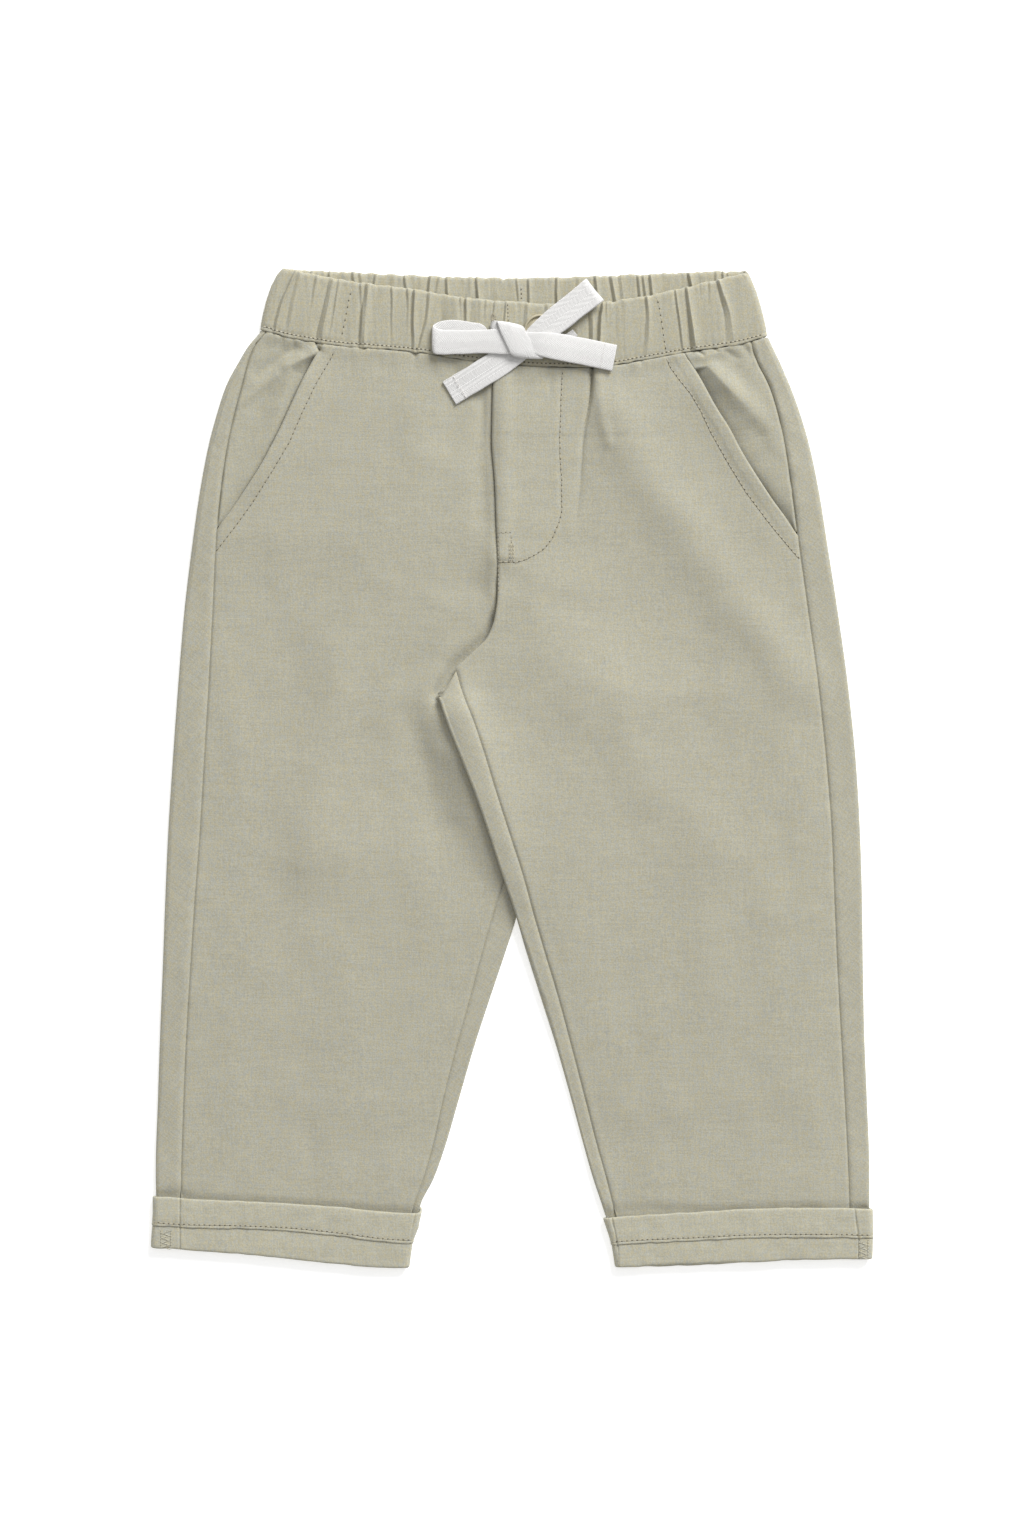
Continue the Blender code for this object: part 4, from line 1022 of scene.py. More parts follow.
# ---- camera, light and floor
def set_camera():
    scene = bpy.context.scene
    camera = bpy.data.cameras.new("camera")
    camera.lens = 100
    camera.sensor_width = 36
    camera.clip_end = 20
    view = bpy.data.objects.new("camera", camera)
    view.location = [c * MM for c in CAMERA_AT]
    scene.collection.objects.link(view)
    scene.camera = view
    scene.view_settings.view_transform = "Standard"


def set_lights():
    scene = bpy.context.scene
    scene.world = bpy.data.worlds.new("studio")
    scene.world.use_nodes = True
    background = scene.world.node_tree.nodes["Background"]
    background.inputs["Color"].default_value = (1, 1, 1, 1)
    background.inputs["Strength"].default_value = 0.42
    for name, place, size, watts in LIGHTS:
        light = bpy.data.lights.new(name, "AREA")
        light.shape = "DISK"
        light.size = size
        light.energy = watts
        lamp = bpy.data.objects.new(name, light)
        lamp.location = place
        lamp.rotation_euler = Vector(place).to_track_quat("Z", "Y").to_euler()
        scene.collection.objects.link(lamp)


def set_table():
    s = Shader("white_table")
    grain = s.noise(s.place(), 3)
    white = (1, 1, 1)
    s.surface(
        Base_Color=s.blend(grain, shade(white, 0.93), shade(white, 0.94)),
        Roughness=0.9,
        Emission_Color=(*white, 1),
        Emission_Strength=TABLE_GLOW,
    )
    bpy.ops.mesh.primitive_plane_add(size=TABLE_SIZE, location=(0, 0, -0.0001))
    floor = bpy.context.object
    floor.name = "table"
    floor.data.materials.append(s.material)


# ---- drawstring
# The middle of each string from its eyelet to its end, with the direction of its width in degrees:
# x, y, z, heading, width.
STRING_ONE = (
    (-9, 199, 6.4, 70, 3.4),
    (-7.9, 198.6, 7.7, 70, 4.4),
    (-2.6, 196.2, 7.9, 70, 7),
    (1.6, 191.6, 6.9, 70, 9),
    (0.4, 188.8, 7.1, 84, 7),
    (-2.8, 188.4, 6.6, 90, 7),
    (-7.6, 189.4, 6.6, 90, 7.4),
    (-13, 193.4, 6.9, 90, 11),
    (-18, 194.1, 6.8, 90, 11.8),
    (-22.5, 194.8, 6.7, 90, 12),
    (-27, 195.1, 6.5, 90, 12),
    (-31, 194.7, 6.4, 90, 12),
    (-34, 193.7, 6.4, 90, 12),
    (-35.2, 192.6, 7, 90, 12),
    (-34.3, 191.6, 7.7, 90, 11.8),
    (-31, 190.9, 7.9, 90, 11.2),
    (-24, 190.9, 8, 90, 10.8),
    (-13, 191.3, 8.1, 90, 10.6),
    (-3, 191.1, 8.5, 90, 11.6),
    (3.5, 190.8, 8.9, 87, 10),
    (9, 190.4, 9.6, 84, 9.4),
    (14, 189.8, 9.9, 82, 11),
    (22, 188.6, 9.2, 81, 12),
    (30, 187.2, 7.7, 80, 12),
    (38, 185.6, 7, 79, 12),
    (46.2, 184, 6.4, 79, 12),
)
STRING_TWO = (
    (28.4, 195.5, 5.9, 129, 3.4),
    (24.2, 192.4, 6.7, 129, 3.8),
    (19.2, 188.8, 6.8, 129, 3.8),
    (13.6, 186.4, 6.9, 112, 5),
    (6, 188.4, 7.2, 70, 8),
    (0, 193.4, 7.5, 30, 8),
    (-1.6, 197.6, 7.7, -8, 9),
    (-1.2, 199, 8.2, -10, 11),
    (-0.6, 198.6, 9.2, -12, 12.4),
    (0.4, 196.2, 9.7, -9, 12.4),
    (2.1, 192.6, 9.9, -2, 12.2),
    (3.9, 188.9, 9.9, 4, 12),
    (5.6, 186, 9.7, 3, 12.4),
    (7.4, 184.2, 9, -4, 13.2),
    (7.7, 184.4, 8.4, -4, 12),
    (8, 187.4, 8, 10, 8),
    (9.4, 191.4, 7.9, 100, 7),
    (12.6, 194.8, 8.1, 129, 10),
    (20, 200.6, 8.2, 129, 12),
    (28, 207, 7.7, 129, 12),
    (33.4, 211.4, 7.4, 129, 12.4),
    (36, 213.5, 7.6, 129, 12.6),
    (37.2, 214.5, 8.3, 129, 12.6),
    (36, 213.5, 9.1, 129, 12.6),
    (33.4, 211.4, 9.2, 129, 12.4),
    (28, 207, 9.2, 129, 12),
    (20, 200.6, 9.3, 129, 12),
    (11, 193.6, 9, 129, 10),
    (6.4, 189.6, 8.2, 125, 9),
    (2.5, 186.6, 7.1, 121, 10),
    (-6.5, 181.1, 7.1, 121, 12),
    (-17, 174.8, 6.4, 121, 12),
    (-28, 168.2, 5.2, 121, 12),
)
TAPE_STEP = 0.35
TAPE_HEM = 6.6              # tape folded back and stitched at each end


def smooth_line(stations, step):
    """Points close together on a curve through the stations (centripetal Catmull-Rom)."""
    data = np.array(stations, dtype=float)
    data = np.vstack((2 * data[0] - data[1], data, 2 * data[-1] - data[-2]))
    found = []
    for a, b, c, d in zip(data, data[1:], data[2:], data[3:]):
        knots = [0]
        for p, q in ((a, b), (b, c), (c, d)):
            knots.append(knots[-1] + max(np.linalg.norm((q - p)[:3]), 1e-6) ** 0.5)
        t0, t1, t2, t3 = knots
        count = max(int(np.linalg.norm((c - b)[:3]) / step), 2)
        for t in np.linspace(t1, t2, count, endpoint=False):
            ab = mix(a, b, (t - t0) / (t1 - t0))
            bc = mix(b, c, (t - t1) / (t2 - t1))
            cd = mix(c, d, (t - t2) / (t3 - t2))
            abc = mix(ab, bc, (t - t0) / (t2 - t0))
            bcd = mix(bc, cd, (t - t1) / (t3 - t1))
            found.append(mix(abc, bcd, (t - t1) / (t2 - t1)))
    found.append(data[-2])
    return np.array(found)


def tape_string(name, stations, seed):
    """A flat tape with rounded edges along its stations, thicker where its end is hemmed."""
    line = smooth_line(stations, TAPE_STEP)
    centre, heading, width = line[:, :3], np.radians(line[:, 3]), line[:, 4]
    run = run_along(centre)
    side = np.stack((np.cos(heading), np.sin(heading), 0 * heading), axis=1)
    up = unit(np.cross(unit(np.gradient(centre, axis=0)), side))
    hem = fade(run - run[-1] + TAPE_HEM, 0, 1.8)
    thick = TAPE / 2 * (1 + 0.22 * hem)
    picks = 0.1 * np.sin(run * 2 * math.pi / 1.05)
    rings, uv = [], []
    for angle in np.linspace(0, 2 * math.pi, 20, endpoint=False):
        # a flat oval: nearly straight across, round at the two edges
        c, n = math.cos(angle), math.sin(angle)
        across = math.copysign(abs(c) ** 0.55, c)
        over = math.copysign(abs(n) ** 0.45, n)
        curl = 0.35 * (1 - across**2)
        reach = width / 2 + picks * abs(across) ** 6 + 0.12 * waver(run, 5, seed) * across
        high = thick * over + curl * (width / TAPE_WIDTH)
        rings.append(centre + side * (reach * across)[:, None] + up * high[:, None])
        # whole widths are added, which keeps the cloth coordinates above nothing
        uv.append(np.stack((np.full(len(run), (across + 40) * TAPE_WIDTH / 2), run), axis=1))
    uv = np.stack(uv, axis=1)
    return grid_mesh(name, np.stack(rings, axis=1), wrap_columns=True, caps=True, uv=uv), line, run


def drawstring(name, stations, seed, *nodes):
    """One tape from its eyelet through the bow to its hemmed end."""
    mesh, line, run = tape_string(name, stations, seed)
    made = piece(name, mesh, TAPE_CLOTH, "tape", *nodes)
    stitches = tape_hem_stitches(name + "_hem_stitches", line, run)


# ---- stitches
# A stitch is a short rounded rod: where each ring of it is, and how wide.
ROD = ((-0.5, 0.25), (-0.4, 0.8), (-0.15, 1), (0.15, 1), (0.4, 0.8), (0.5, 0.25))


def join_stitches(name, stitches, material, slot="linen"):
    """One mesh of many stitches: each is a middle, a direction, a length and a width."""
    sides = 6
    points, faces = [], []
    turn = [2 * math.pi * k / sides for k in range(sides)]
    for middle, ahead, length, width in stitches:
        ahead = Vector(ahead).normalized()
        side = Vector((0, 0, 1)).cross(ahead).normalized()
        up = ahead.cross(side)
        base, last = len(points), len(points) + (len(ROD) - 1) * sides
        for share, size in ROD:
            centre, radius = Vector(middle) + ahead * share * length, size * width / 2
            points += [(centre + (side * math.cos(a) + up * 0.8 * math.sin(a)) * radius) * MM for a in turn]
        for low in range(base, last, sides):
            for k in range(sides):
                after = (k + 1) % sides
                faces.append((low + k, low + after, low + sides + after, low + sides + k))
        faces += [tuple(range(base + sides - 1, base - 1, -1)), tuple(range(last, last + sides))]
    mesh = bpy.data.meshes.new(name)
    mesh.from_pydata([tuple(point) for point in points], [], faces)
    mesh.shade_smooth()
    return piece(name, mesh, material, slot)


def tape_hem_stitches(name, line, run):
    """A row of stitches across the tape where its folded end is sewn down."""
    i = int(np.searchsorted(run, run[-1] - TAPE_HEM + 0.9))
    heading = math.radians(line[i, 3])
    side = np.array((math.cos(heading), math.sin(heading), 0))
    stitches = []
    for offset in 1.95 * (np.arange(6) - 2.5):
        height = TAPE * 0.52 + 0.35 * (1 - (offset / 6) ** 2)
        stitches.append((line[i, :3] + side * offset + (0, 0, height), side, 1.4, 0.3))
    return join_stitches(name, stitches, PALE_THREAD, "tape")


def resample(line, pitch):
    """Places a pitch apart along a line of points, with the direction there."""
    line = np.array(line, dtype=float)
    run = run_along(line)

    def place(at):
        return np.stack([np.interp(at, run, line[:, k]) for k in range(2)], axis=1)

    at = np.arange(pitch / 2, run[-1], pitch)
    return place(at), unit(place(at + 0.3) - place(at - 0.3))


def cloth_below(objects):
    """A function that gives the height of the cloth under a place on the page."""
    graph = bpy.context.evaluated_depsgraph_get()
    trees = [BVHTree.FromObject(made, graph) for made in objects]

    def height(x, y):
        found = []
        for tree in trees:
            hit = tree.ray_cast(Vector((x * MM, y * MM, 0.1)), Vector((0, 0, -1)))[0]
            if hit is not None:
                found.append(hit.z / MM)
        return max(found, default=0)

    return height


STITCH_DEPTH = 0.03         # how far stitches stand above the cloth, and holes lie in it


def stitch_line(line, height, seed, pitch, length, width, hole):
    """Stitches along a line on the page, lying on the cloth, and dark marks of painted shade for the needle
    holes between them.
    """
    places, ahead = resample(line, pitch / 2)
    stitches, hole_shades = [], []
    for k, ((x, y), (dx, dy)) in enumerate(zip(places, ahead)):
        reach = length * 0.4
        start, end = (height(x + sign * dx * reach, y + sign * dy * reach) for sign in (-1, 1))
        level = max(height(x, y), (start + end) / 2)
        direction = (dx, dy, min(max((end - start) / (2 * reach), -0.4), 0.4))
        wander = float(waver(k * 3.1, 2, 40 + seed)) * 0.07
        x, y = x - dy * wander, y + dx * wander
        # every other place gets a dark mark of painted shade for a needle hole instead of a stitch
        if k % 2:
            hole_shades.append(((x, y, level - STITCH_DEPTH), direction, hole * (1.3 + 3 * wander), hole * 0.9))
        else:
            stitches.append(((x, y, level + STITCH_DEPTH), direction, length, width))
    return stitches, hole_shades


def sew_lines(name, height, material, *lines):
    """One piece of thread and one of dark marks of painted needle-hole shade for several lines of stitching.
    """
    rows = [stitch_line(line, height, seed, *sizes) for seed, (line, sizes) in enumerate(lines)]
    join_stitches(name, sum((stitches for stitches, _ in rows), []), material)
    join_stitches(name + "_holes", sum((hole_shades for _, hole_shades in rows), []), PAINTED_HOLE_SHADE)


# ---- panels
def spread(count, width, margins=(0.25, 0.6, 1, 1.5)):
    """Shares from 0 to 1, closer together at both ends."""
    near = np.array(margins) / width
    inner = np.linspace(0, 1, count)
    inner = inner[(inner > near[-1] * 1.4) & (inner < 1 - near[-1] * 1.4)]
    return np.concatenate(([0], near, inner, 1 - near[::-1], [1]))


ROW_YS = np.concatenate((
    TOP_ROW - np.array((0, 0.5, 1.1, 1.8)),
    np.linspace(TOP_ROW - 2.8, FOOT_ROW, 272),
))


def seam_groove(distance):
    """The line that a seam draws into the cloth."""
    return -0.75 * bump(distance, 0.6)


def pulled_seam(distance, y):
    """The side seam, which is drawn in more beside the pocket's mouth."""
    return seam_groove(distance) * (1 + (0.9 + 0.5 * waver(y, 3.2, 38)) * fade(y, 104, 112))


def seam_pucker(distance, along, seed):
    """Small waves of the cloth beside a seam."""
    return 0.16 * np.exp(-distance / 3.2) * waver(along, 3.6, seed)


def below_waist(x, y):
    """Cloth full under the band's seam: a soft roll below it, with short uneven gathers."""
    down = np.maximum(below_seam(x, y), 0)
    gathers = 0.16 * waver(x, 2.2, 21) * np.exp(-down / 3.5) + 0.26 * waver(x, 6.5, 22) * np.exp(-down / 10)
    return gathers + (0.5 + 0.25 * waver(x, 17, 23)) * bump(down, 4.6) - 0.42 * np.exp(-down / 0.45)


def stitched(x, y, line, seed):
    """A shallow channel with a pucker at each stitch."""
    away, along, _ = to_line(x, y, line)
    return 0.09 * waver(along, 1.7, seed) * np.exp(-away / 2.2) - 0.13 * bump(away, 0.75)


def rounded_over(distance):
    """How far a folded edge has turned down."""
    return np.clip(1 - distance / 0.9, 0, 1) ** 2


def outer_finish(side, x, y, to_outer):
    """The side seam, and above it the pocket's turned edge with the hem inside it a little proud."""
    foot = POCKET_FOOT[side]
    at_pocket = fade(y, foot - 1, foot + 1)
    along = to_line(x, y, POCKET_STITCH[side])[1]
    z = (1 - at_pocket) * (seam_groove(to_outer) + seam_pucker(to_outer, y, 31))
    z += 0.22 * fade(to_outer, 6.4, 5.2) * fade(y, foot - 6, foot)
    z += at_pocket * (0.1 * np.exp(-to_outer / 2.6) * waver(along, 4.2, 33) - 0.5 * rounded_over(to_outer))
    return z + stitched(x, y, POCKET_STITCH[side], 34)


def fly_finish(x, y, to_inner, at_fly):
    """The mock fly: its shield, its stitching and its rounded free edge."""
    shield_foot = 92.5 + np.clip(x - 4, 0, 18) ** 2 * 0.045
    z = 0.3 * fade(x, 21.8, 20.2) * fade(y - shield_foot, 0, 1.6)
    z += stitched(x, y, FLY_STITCH, 35) + stitched(x, y, ((-6.1, 80), (-6.2, 106)), 36)
    free = 0.55 * np.exp(-to_inner / 7) * fade(y, 50, 80) - 0.6 * rounded_over(to_inner)
    return z + at_fly * (free + 0.12 * np.exp(-to_inner / 2.5) * waver(y, 6, 37))


def under_left_leg(x, y, to_inner):
    """The right front rises beside the left leg's edge, dips at it and runs on under the left front."""
    beside = CENTRE_FRONT("left", y) - x
    to_edge = to_line(x, y, CROTCH_EDGE)[0]
    z = 1.7 * bump(beside, 5.5) * fade(y, 66, 80) * fade(y, 106, 90)
    z += 0.8 * bump(to_edge - 7, 6) * fade(y, 84, 70)
    z -= 2.1 * bump(to_edge, 2.3) * fade(y, 72, 64) * fade(y, 19, 38)
    return z - 0.5 * fade(to_inner, 3, 0) * fade(y, 60, 70)


def front_panel(side):
    """The front of one leg, between the pocket's edge and side seam and the centre and inseam."""
    outer_edge, inner_edge = front_outer_edge(side), front_inner_edge(side)
    x_in, _ = settle(side, ROW_YS, inner_edge, 1)
    x_out, _ = settle(side, ROW_YS, outer_edge)
    share = spread(126, 120)[None, :]
    x = mix(x_in[:, None], x_out[:, None], share)
    if side == "left":
        # closer columns in the crease beside the fly
        crease = FLY_CREASE("x", ROW_YS)[:, None]
        x = x - 0.7 * (x - crease) * bump(x - crease, 3) * fade(ROW_YS[:, None], 98, 106)
    y = row_height(side, ROW_YS[:, None], x, fade(share, 0.5, 0))
    to_outer, to_inner = np.abs(x - outer_edge(y)), np.abs(x - inner_edge(y))
    at_fly = fade(y, 47, 50) if side == "left" else np.zeros(y.shape)
    z = front_height(side, x, y) + outer_finish(side, x, y, to_outer) + below_waist(x, y)
    inner_seam = seam_groove(to_inner) + 0.6 * seam_pucker(to_inner, y, 32)
    z += (1 - at_fly) * (inner_seam + 0.13 * bump(to_inner - 2.4, 0.9))
    z += fly_finish(x, y, to_inner, at_fly) if side == "left" else under_left_leg(x, y, to_inner)
    # the front never sinks into the back under it
    under = back_height(side, x, y) + crease_heights(x, y, BACK_CREASES)
    return shell("front_" + side, np.stack((x, y, np.maximum(z, under + WALL + 0.03)), axis=-1), LINEN_FRONT)


def roll(side, fold_x, y_top, y_back, outward, arcs=9):
    """Half turn of cloth round a fold, from the front layer to the back layer."""
    near = fold_x - outward * 2
    z_top = front_height(side, near, y_top)
    z_back = back_height(side, near, y_back)
    radius = (z_top - z_back) / 2
    centre = fold_x - outward * (HALF + radius)
    points = []
    for i in range(arcs + 1):
        angle = math.pi * (0.5 - i / arcs)
        y = mix(y_top, y_back, i / arcs)
        x = centre + outward * radius * math.cos(angle)
        points.append(np.stack((x, y, (z_top + z_back) / 2 + radius * math.sin(angle)), axis=-1))
    return np.stack(points, axis=1)


def side_flap(side, x_seam, x_fold):
    """The back's edge in front of the side fold, out from the side seam."""
    share = spread(9, 10, (0.25, 0.6, 1))[None, :-1]
    x = mix(x_seam[:, None], x_fold[:, None], share)
    y = row_height(side, ROW_YS[:, None], x)
    to_seam = np.abs(x - SIDES(side + "_seam", y))
    z = front_height(side, x, y) + pulled_seam(to_seam, y) + seam_pucker(to_seam, y, 31)
    z += 0.16 * fade(to_seam, 0, 1.5) + below_waist(x, y) * 0.7
    z += 0.1 * waver(y, 9, 51) * fade(to_seam, 0, 3)
    return np.stack((x, y, z), axis=-1)


def inseam_strip(side, x_fold, y_fold):
    """The back's edge in front of the inner fold, up to the inseam."""
    x_end, y_end = settle(side, ROW_YS, INNER.line(side + "_inseam"), 1)
    share = spread(6, 8, (0.25, 0.6, 1))[None, 1:]
    x = mix(x_fold[:, None], x_end[:, None], share)
    y = mix(y_fold[:, None], y_end[:, None], share)
    to_seam = np.abs(x - x_end[:, None])
    z = front_height(side, x, y) + seam_groove(to_seam) + 0.6 * seam_pucker(to_seam, y, 32)
    z += 0.1 * waver(y, 8, 52) * fade(to_seam, 0, 3)
    return np.stack((x, y, z), axis=-1)


def back_panel(side):
    """The back with its edges folded forward round the side and down the inside of the leg."""
    out = OUTWARD[side]
    x_seam, _ = settle(side, ROW_YS, SIDES.line(side + "_seam"))
    x_fold, _ = settle(side, ROW_YS, SIDES.line(side + "_fold"))
    x_in, y_in = settle(side, ROW_YS, INNER.line(side + "_fold"))
    x_centre, _ = settle(side, ROW_YS, CENTRE_BACK.line(side), 0, "back")
    x_near = x_fold - out * 1.5
    y_front, y_back = (row_height(side, ROW_YS, x_near, 0, layer) for layer in ("front", "back"))
    outer_roll = roll(side, x_fold, y_front, y_back, out)
    inner_roll = roll(side, x_in, y_in, y_in, -out)[:, ::-1]
    flap = side_flap(side, x_seam, outer_roll[:, 0, 0])

    below = ROW_YS <= CROTCH_ROW + 0.1
    under_end = np.where(below, inner_roll[:, 0, 0], x_centre)
    share = np.linspace(0, 1, 34)[None, 1:]
    x = mix(outer_roll[:, -1, 0][:, None], under_end[:, None], share)
    y = row_height(side, ROW_YS[:, None], x, 0, "back")
    pressed = crease_heights(x, y, BACK_CREASES)
    z = back_height(side, x, y) + pressed * fade(share, 0, 1 / 6) * fade(share, 1, 5 / 6)
    under = np.stack((x, y, z), axis=-1)
    under[below, -1] = inner_roll[below, 0]
    strip = np.concatenate((inner_roll[:, 1:], inseam_strip(side, inner_roll[:, -1, 0], y_in)), axis=1)
    strip[~below] = np.nan
    return shell("back_" + side, np.concatenate((flap, outer_roll, under, strip), axis=1), LINEN_BACK)


def mouth_fold(side, x, y):
    """Fold of the facing along the pocket's mouth, which falls in under the pocket's edge."""
    x_line, y_line, *shape = np.transpose(MOUTH_FOLDS[side])
    line = np.stack((x_line, y_line), axis=1)
    away, along, across = to_line(x, y, line)
    height, gentle, hollow, sharp = (np.interp(along, run_along(line), column) for column in shape)
    to_edge = 0.8 * np.maximum((x - SLANT(side, y)) * OUTWARD[side], 0)
    inwards = away / (away + to_edge + 0.4)
    # high up, the left facing is caught flat in the stitching of the pocket's edge
    caught = fade(y - 0.19 * x, 163, 163.9) if side == "left" else 0
    fall = height - (height + hollow) * inwards**sharp * (1 - caught)
    return np.where(across * OUTWARD[side] < 0, height * bump(away, gentle), fall)


def pocket_facing(side):
    """The part of the pocket that shows in its slanted mouth."""
    out = OUTWARD[side]
    rows = np.linspace(TOP_ROW, POCKET_FOOT[side], 190)
    x_seam, _ = settle(side, rows, SIDES.line(side + "_seam"))
    x_edge, _ = settle(side, rows, front_outer_edge(side))
    share = np.concatenate((np.linspace(0, 1, 64), [1]))[None, :]
    x = mix(x_seam[:, None], x_edge[:, None], share)
    x[:, -1] = x_edge - out * 5
    y = row_height(side, rows[:, None], x)
    to_seam = np.abs(x - SIDES(side + "_seam", y))
    sinks = fade(share, 0, 0.8)
    z = front_height(side, x, y) - LAYER * sinks * fade(below_seam(x, y), 0, 7)
    z += pulled_seam(to_seam, y) + seam_pucker(to_seam, y, 31) + below_waist(x, y)
    z += 0.1 * rumple(x, y, 6, 41) + mouth_fold(side, x, y) * fade(below_seam(x, y), 0, 3)
    # it keeps below the front where the front lies on it, and above the back
    under = np.where((SLANT(side, y) - x) * out > -0.4, 0.85, -9)
    z = np.maximum(np.minimum(z, front_height(side, x, y) - under), LAYER)
    return shell("pocket_facing_" + side, np.stack((x, y, z), axis=-1), LINEN_FACING)


# ---- waistband
def gather_relief(x, v, gathers, seed):
    """Crisp little folds: a slope up to a crest, a drop behind it and a crease at its foot."""
    total = np.zeros(np.shape(x))
    for number, row in enumerate(gathers):
        low, bend, high, depth_low, depth_high, slope_low, slope_high = row
        crest = mix(mix(low, bend, v), mix(bend, high, v), v) + 0.2 * waver(v * BAND_HEIGHT, 7, 60 + number)
        width = mix(slope_low, slope_high, v)
        uneven = 1 + 0.15 * waver(v * BAND_HEIGHT, 9, 160 + number)
        depth = max(mix(depth_low, depth_high, v), 0) * uneven
        d = x - crest
        rise = np.clip(1 + d / width, 0, 1) ** 1.15 * (d <= 0)
        drop = np.exp(-d / (0.4 + 0.3 * width)) * (d > 0)
        crease = 0.55 * np.exp(-np.abs(d + width) / (0.2 + 0.25 * width))
        total = total + 0.85 * depth * (rise + drop - crease)
    loose = 0.05 + 0.18 * fade(v, 0.78, 0.98) + 0.13 * fade(v, 0.24, 0.04)
    return total + loose * waver(x + v * 2, 1.5, seed) + 0.12 * waver(x - v * 3, 4.7, seed + 1)


def band_profile():
    """Round the casing: height share, part of its half thickness, and how much it is gathered."""
    return (
        (0, -0.3, 0.1), (-0.006, 0.2, 0.2), (-0.006, 0.55, 0.3), (0.001, 0.76, 0.4), (0.012, 0.85, 0.45),
        (0.028, 0.86, 0.5), (0.048, 0.76, 0.55), (0.06, 0.74, 0.6), (0.08, 0.84, 0.7), (0.12, 0.92, 0.85),
        *((v, 1 - 0.18 * abs(v - 0.55) ** 2 * 4, 1) for v in np.linspace(0.17, 0.93, 26)),
        (0.955, 0.86, 0.95), (0.975, 0.68, 0.8), (0.99, 0.42, 0.6), (1, 0.05, 0.35), (0.995, -0.4, 0.2),
        # the inside of the casing
        (0.97, -0.85, 0.1), (0.9, -1, 0), (0.7, -1, 0), (0.45, -1, 0), (0.2, -1, 0), (0.06, -0.9, 0),
        (0.01, -0.7, 0),
    )


def waistband(which, gathers, z_middle, facing, seed):
    """One half of the casing, which rolls into the other half at both ends."""
    seam_name, top_name = ("seam", "front_top") if which == "front" else ("back_seam", "back_top")
    tip = math.asin(SEAM / 2 / BAND_ROLL)
    turn = np.linspace(tip, math.pi / 2, 7)[:-1]
    rings = []
    for v, part, gathered in band_profile():
        v_in = min(max(v, 0), 1)
        left = BAND_SIDES("left_on_page", v_in) + BAND / 2 + BAND_ROLL
        right = BAND_SIDES("right_on_page", v_in) - BAND / 2 - BAND_ROLL
        offset = part * BAND / 2
        radius = BAND_ROLL + facing * offset
        x = mix(left, right, np.linspace(0, 1, 760))
        relief = gathered * gather_relief(x, v_in, gathers, seed)
        ends = fade(np.minimum(x - left, right - x), 0, 6)
        flat = z_middle + offset + relief * mix(0.35, 1, ends)
        rolled = BAND_MIDDLE_Z + facing * radius * np.sin(turn)
        x = np.concatenate((left - radius * np.cos(turn), x, right + radius * np.cos(turn[::-1])))
        z = np.concatenate((rolled, flat, rolled[::-1]))
        relief = np.pad(relief, len(turn))
        bottom = WAIST(seam_name, x) + SEAM / 2 + 0.1 + 0.2 * waver(x, 3.7, seed + 7)
        top = WAIST(top_name, x) + 0.28 * waver(x, 1.9, seed + 5)
        y = mix(bottom, top, v) + 0.4 * relief * smoothstep((v - 0.9) * 12) + 0.3 * waver(x, 3.1, seed + 6)
        rings.append(np.stack((x, y, z), axis=-1))
    mesh = grid_mesh("waistband_" + which, np.stack(rings), wrap_rows=True, caps=True)
    return piece("waistband_" + which, mesh, LINEN_BAND, "linen", "waistband_" + which)


# ---- turn-ups
def cuff_profile():
    """Rings of the turn-up: measured from which edge, by how much, and how far off the leg."""
    turn, thick = LAYER / 2, WALL / 2
    start = turn + HALF
    face, lining = LAYER + thick, LAYER - thick
    raised = face + HEM_RAISE
    rings = [("bottom", up, -thick) for up in (CUFF_LIP, 2.4, start)]
    for angle in np.arange(1, 8) * math.pi / 8:
        radius = turn + thick
        rings.append(("bottom", start - radius * math.sin(angle), turn - radius * math.cos(angle)))
    rings += [("bottom", up, face) for up in (start, 2, 3, 4.4, 6, 7.6)]
    rings += [("hem", -1.6, face), ("hem", -0.7, face - 0.05), ("hem", -0.15, face)]
    rings += [("hem", up, raised + off) for up, off in (
        (-0.28, -0.35), (-0.1, -0.05), (0.5, 0.06), (1, -0.06), (1.35, -0.12), (1.8, -0.04),
        (2.6, 0), (4, 0), (5.5, 0), (7, 0),
    )]
    rings += [("top", up, raised + off) for up, off in (
        (-4.6, 0), (-3, 0), (-1.8, 0), (-0.8, -0.03), (-0.3, -0.14), (-0.05, -0.5), (0, -0.95),
    )]
    rings += [("top", -0.2, lining - 0.05), ("top", -1.2, lining), ("top", -6, lining), ("hem", 3, lining)]
    rings += [("bottom", 6, lining), ("bottom", start + 0.4, lining), ("bottom", start - 0.3, turn)]
    return rings + [("bottom", up, thick) for up in (start + 0.4, 2.6, CUFF_LIP)]


# Where the seams of the leg show in the turn-up: across the page at its top and at its hem.
CUFF_SEAMS = {"right": ((-149.3, -149.3), (-43.4, -46)), "left": ((154, 155.8), (44.9, 47.4))}
SEAM_COLUMNS = (-1.4, -0.9, -0.6, -0.3, 0, 0.3, 0.6, 0.9, 1.4)
TOP_TO_HEM = 13
CUFF_FRONT_Z = LEVEL("front", FOOT_ROW) + LAYER
CUFF_BACK_Z = HALF + LAYER
CUFF_RADIUS = (CUFF_FRONT_Z - CUFF_BACK_Z) / 2
TURN_STEPS = 8
BACK_STEPS = 60


def cuff_seams(side, place, millimetres):
    """Across the page, the two seams of the turn-up at one of its rings."""
    down = {"top": 0, "hem": 1, "bottom": 1.7}[place] - millimetres / TOP_TO_HEM
    return [mix(high, low, min(down, 1.1)) for high, low in CUFF_SEAMS[side]]


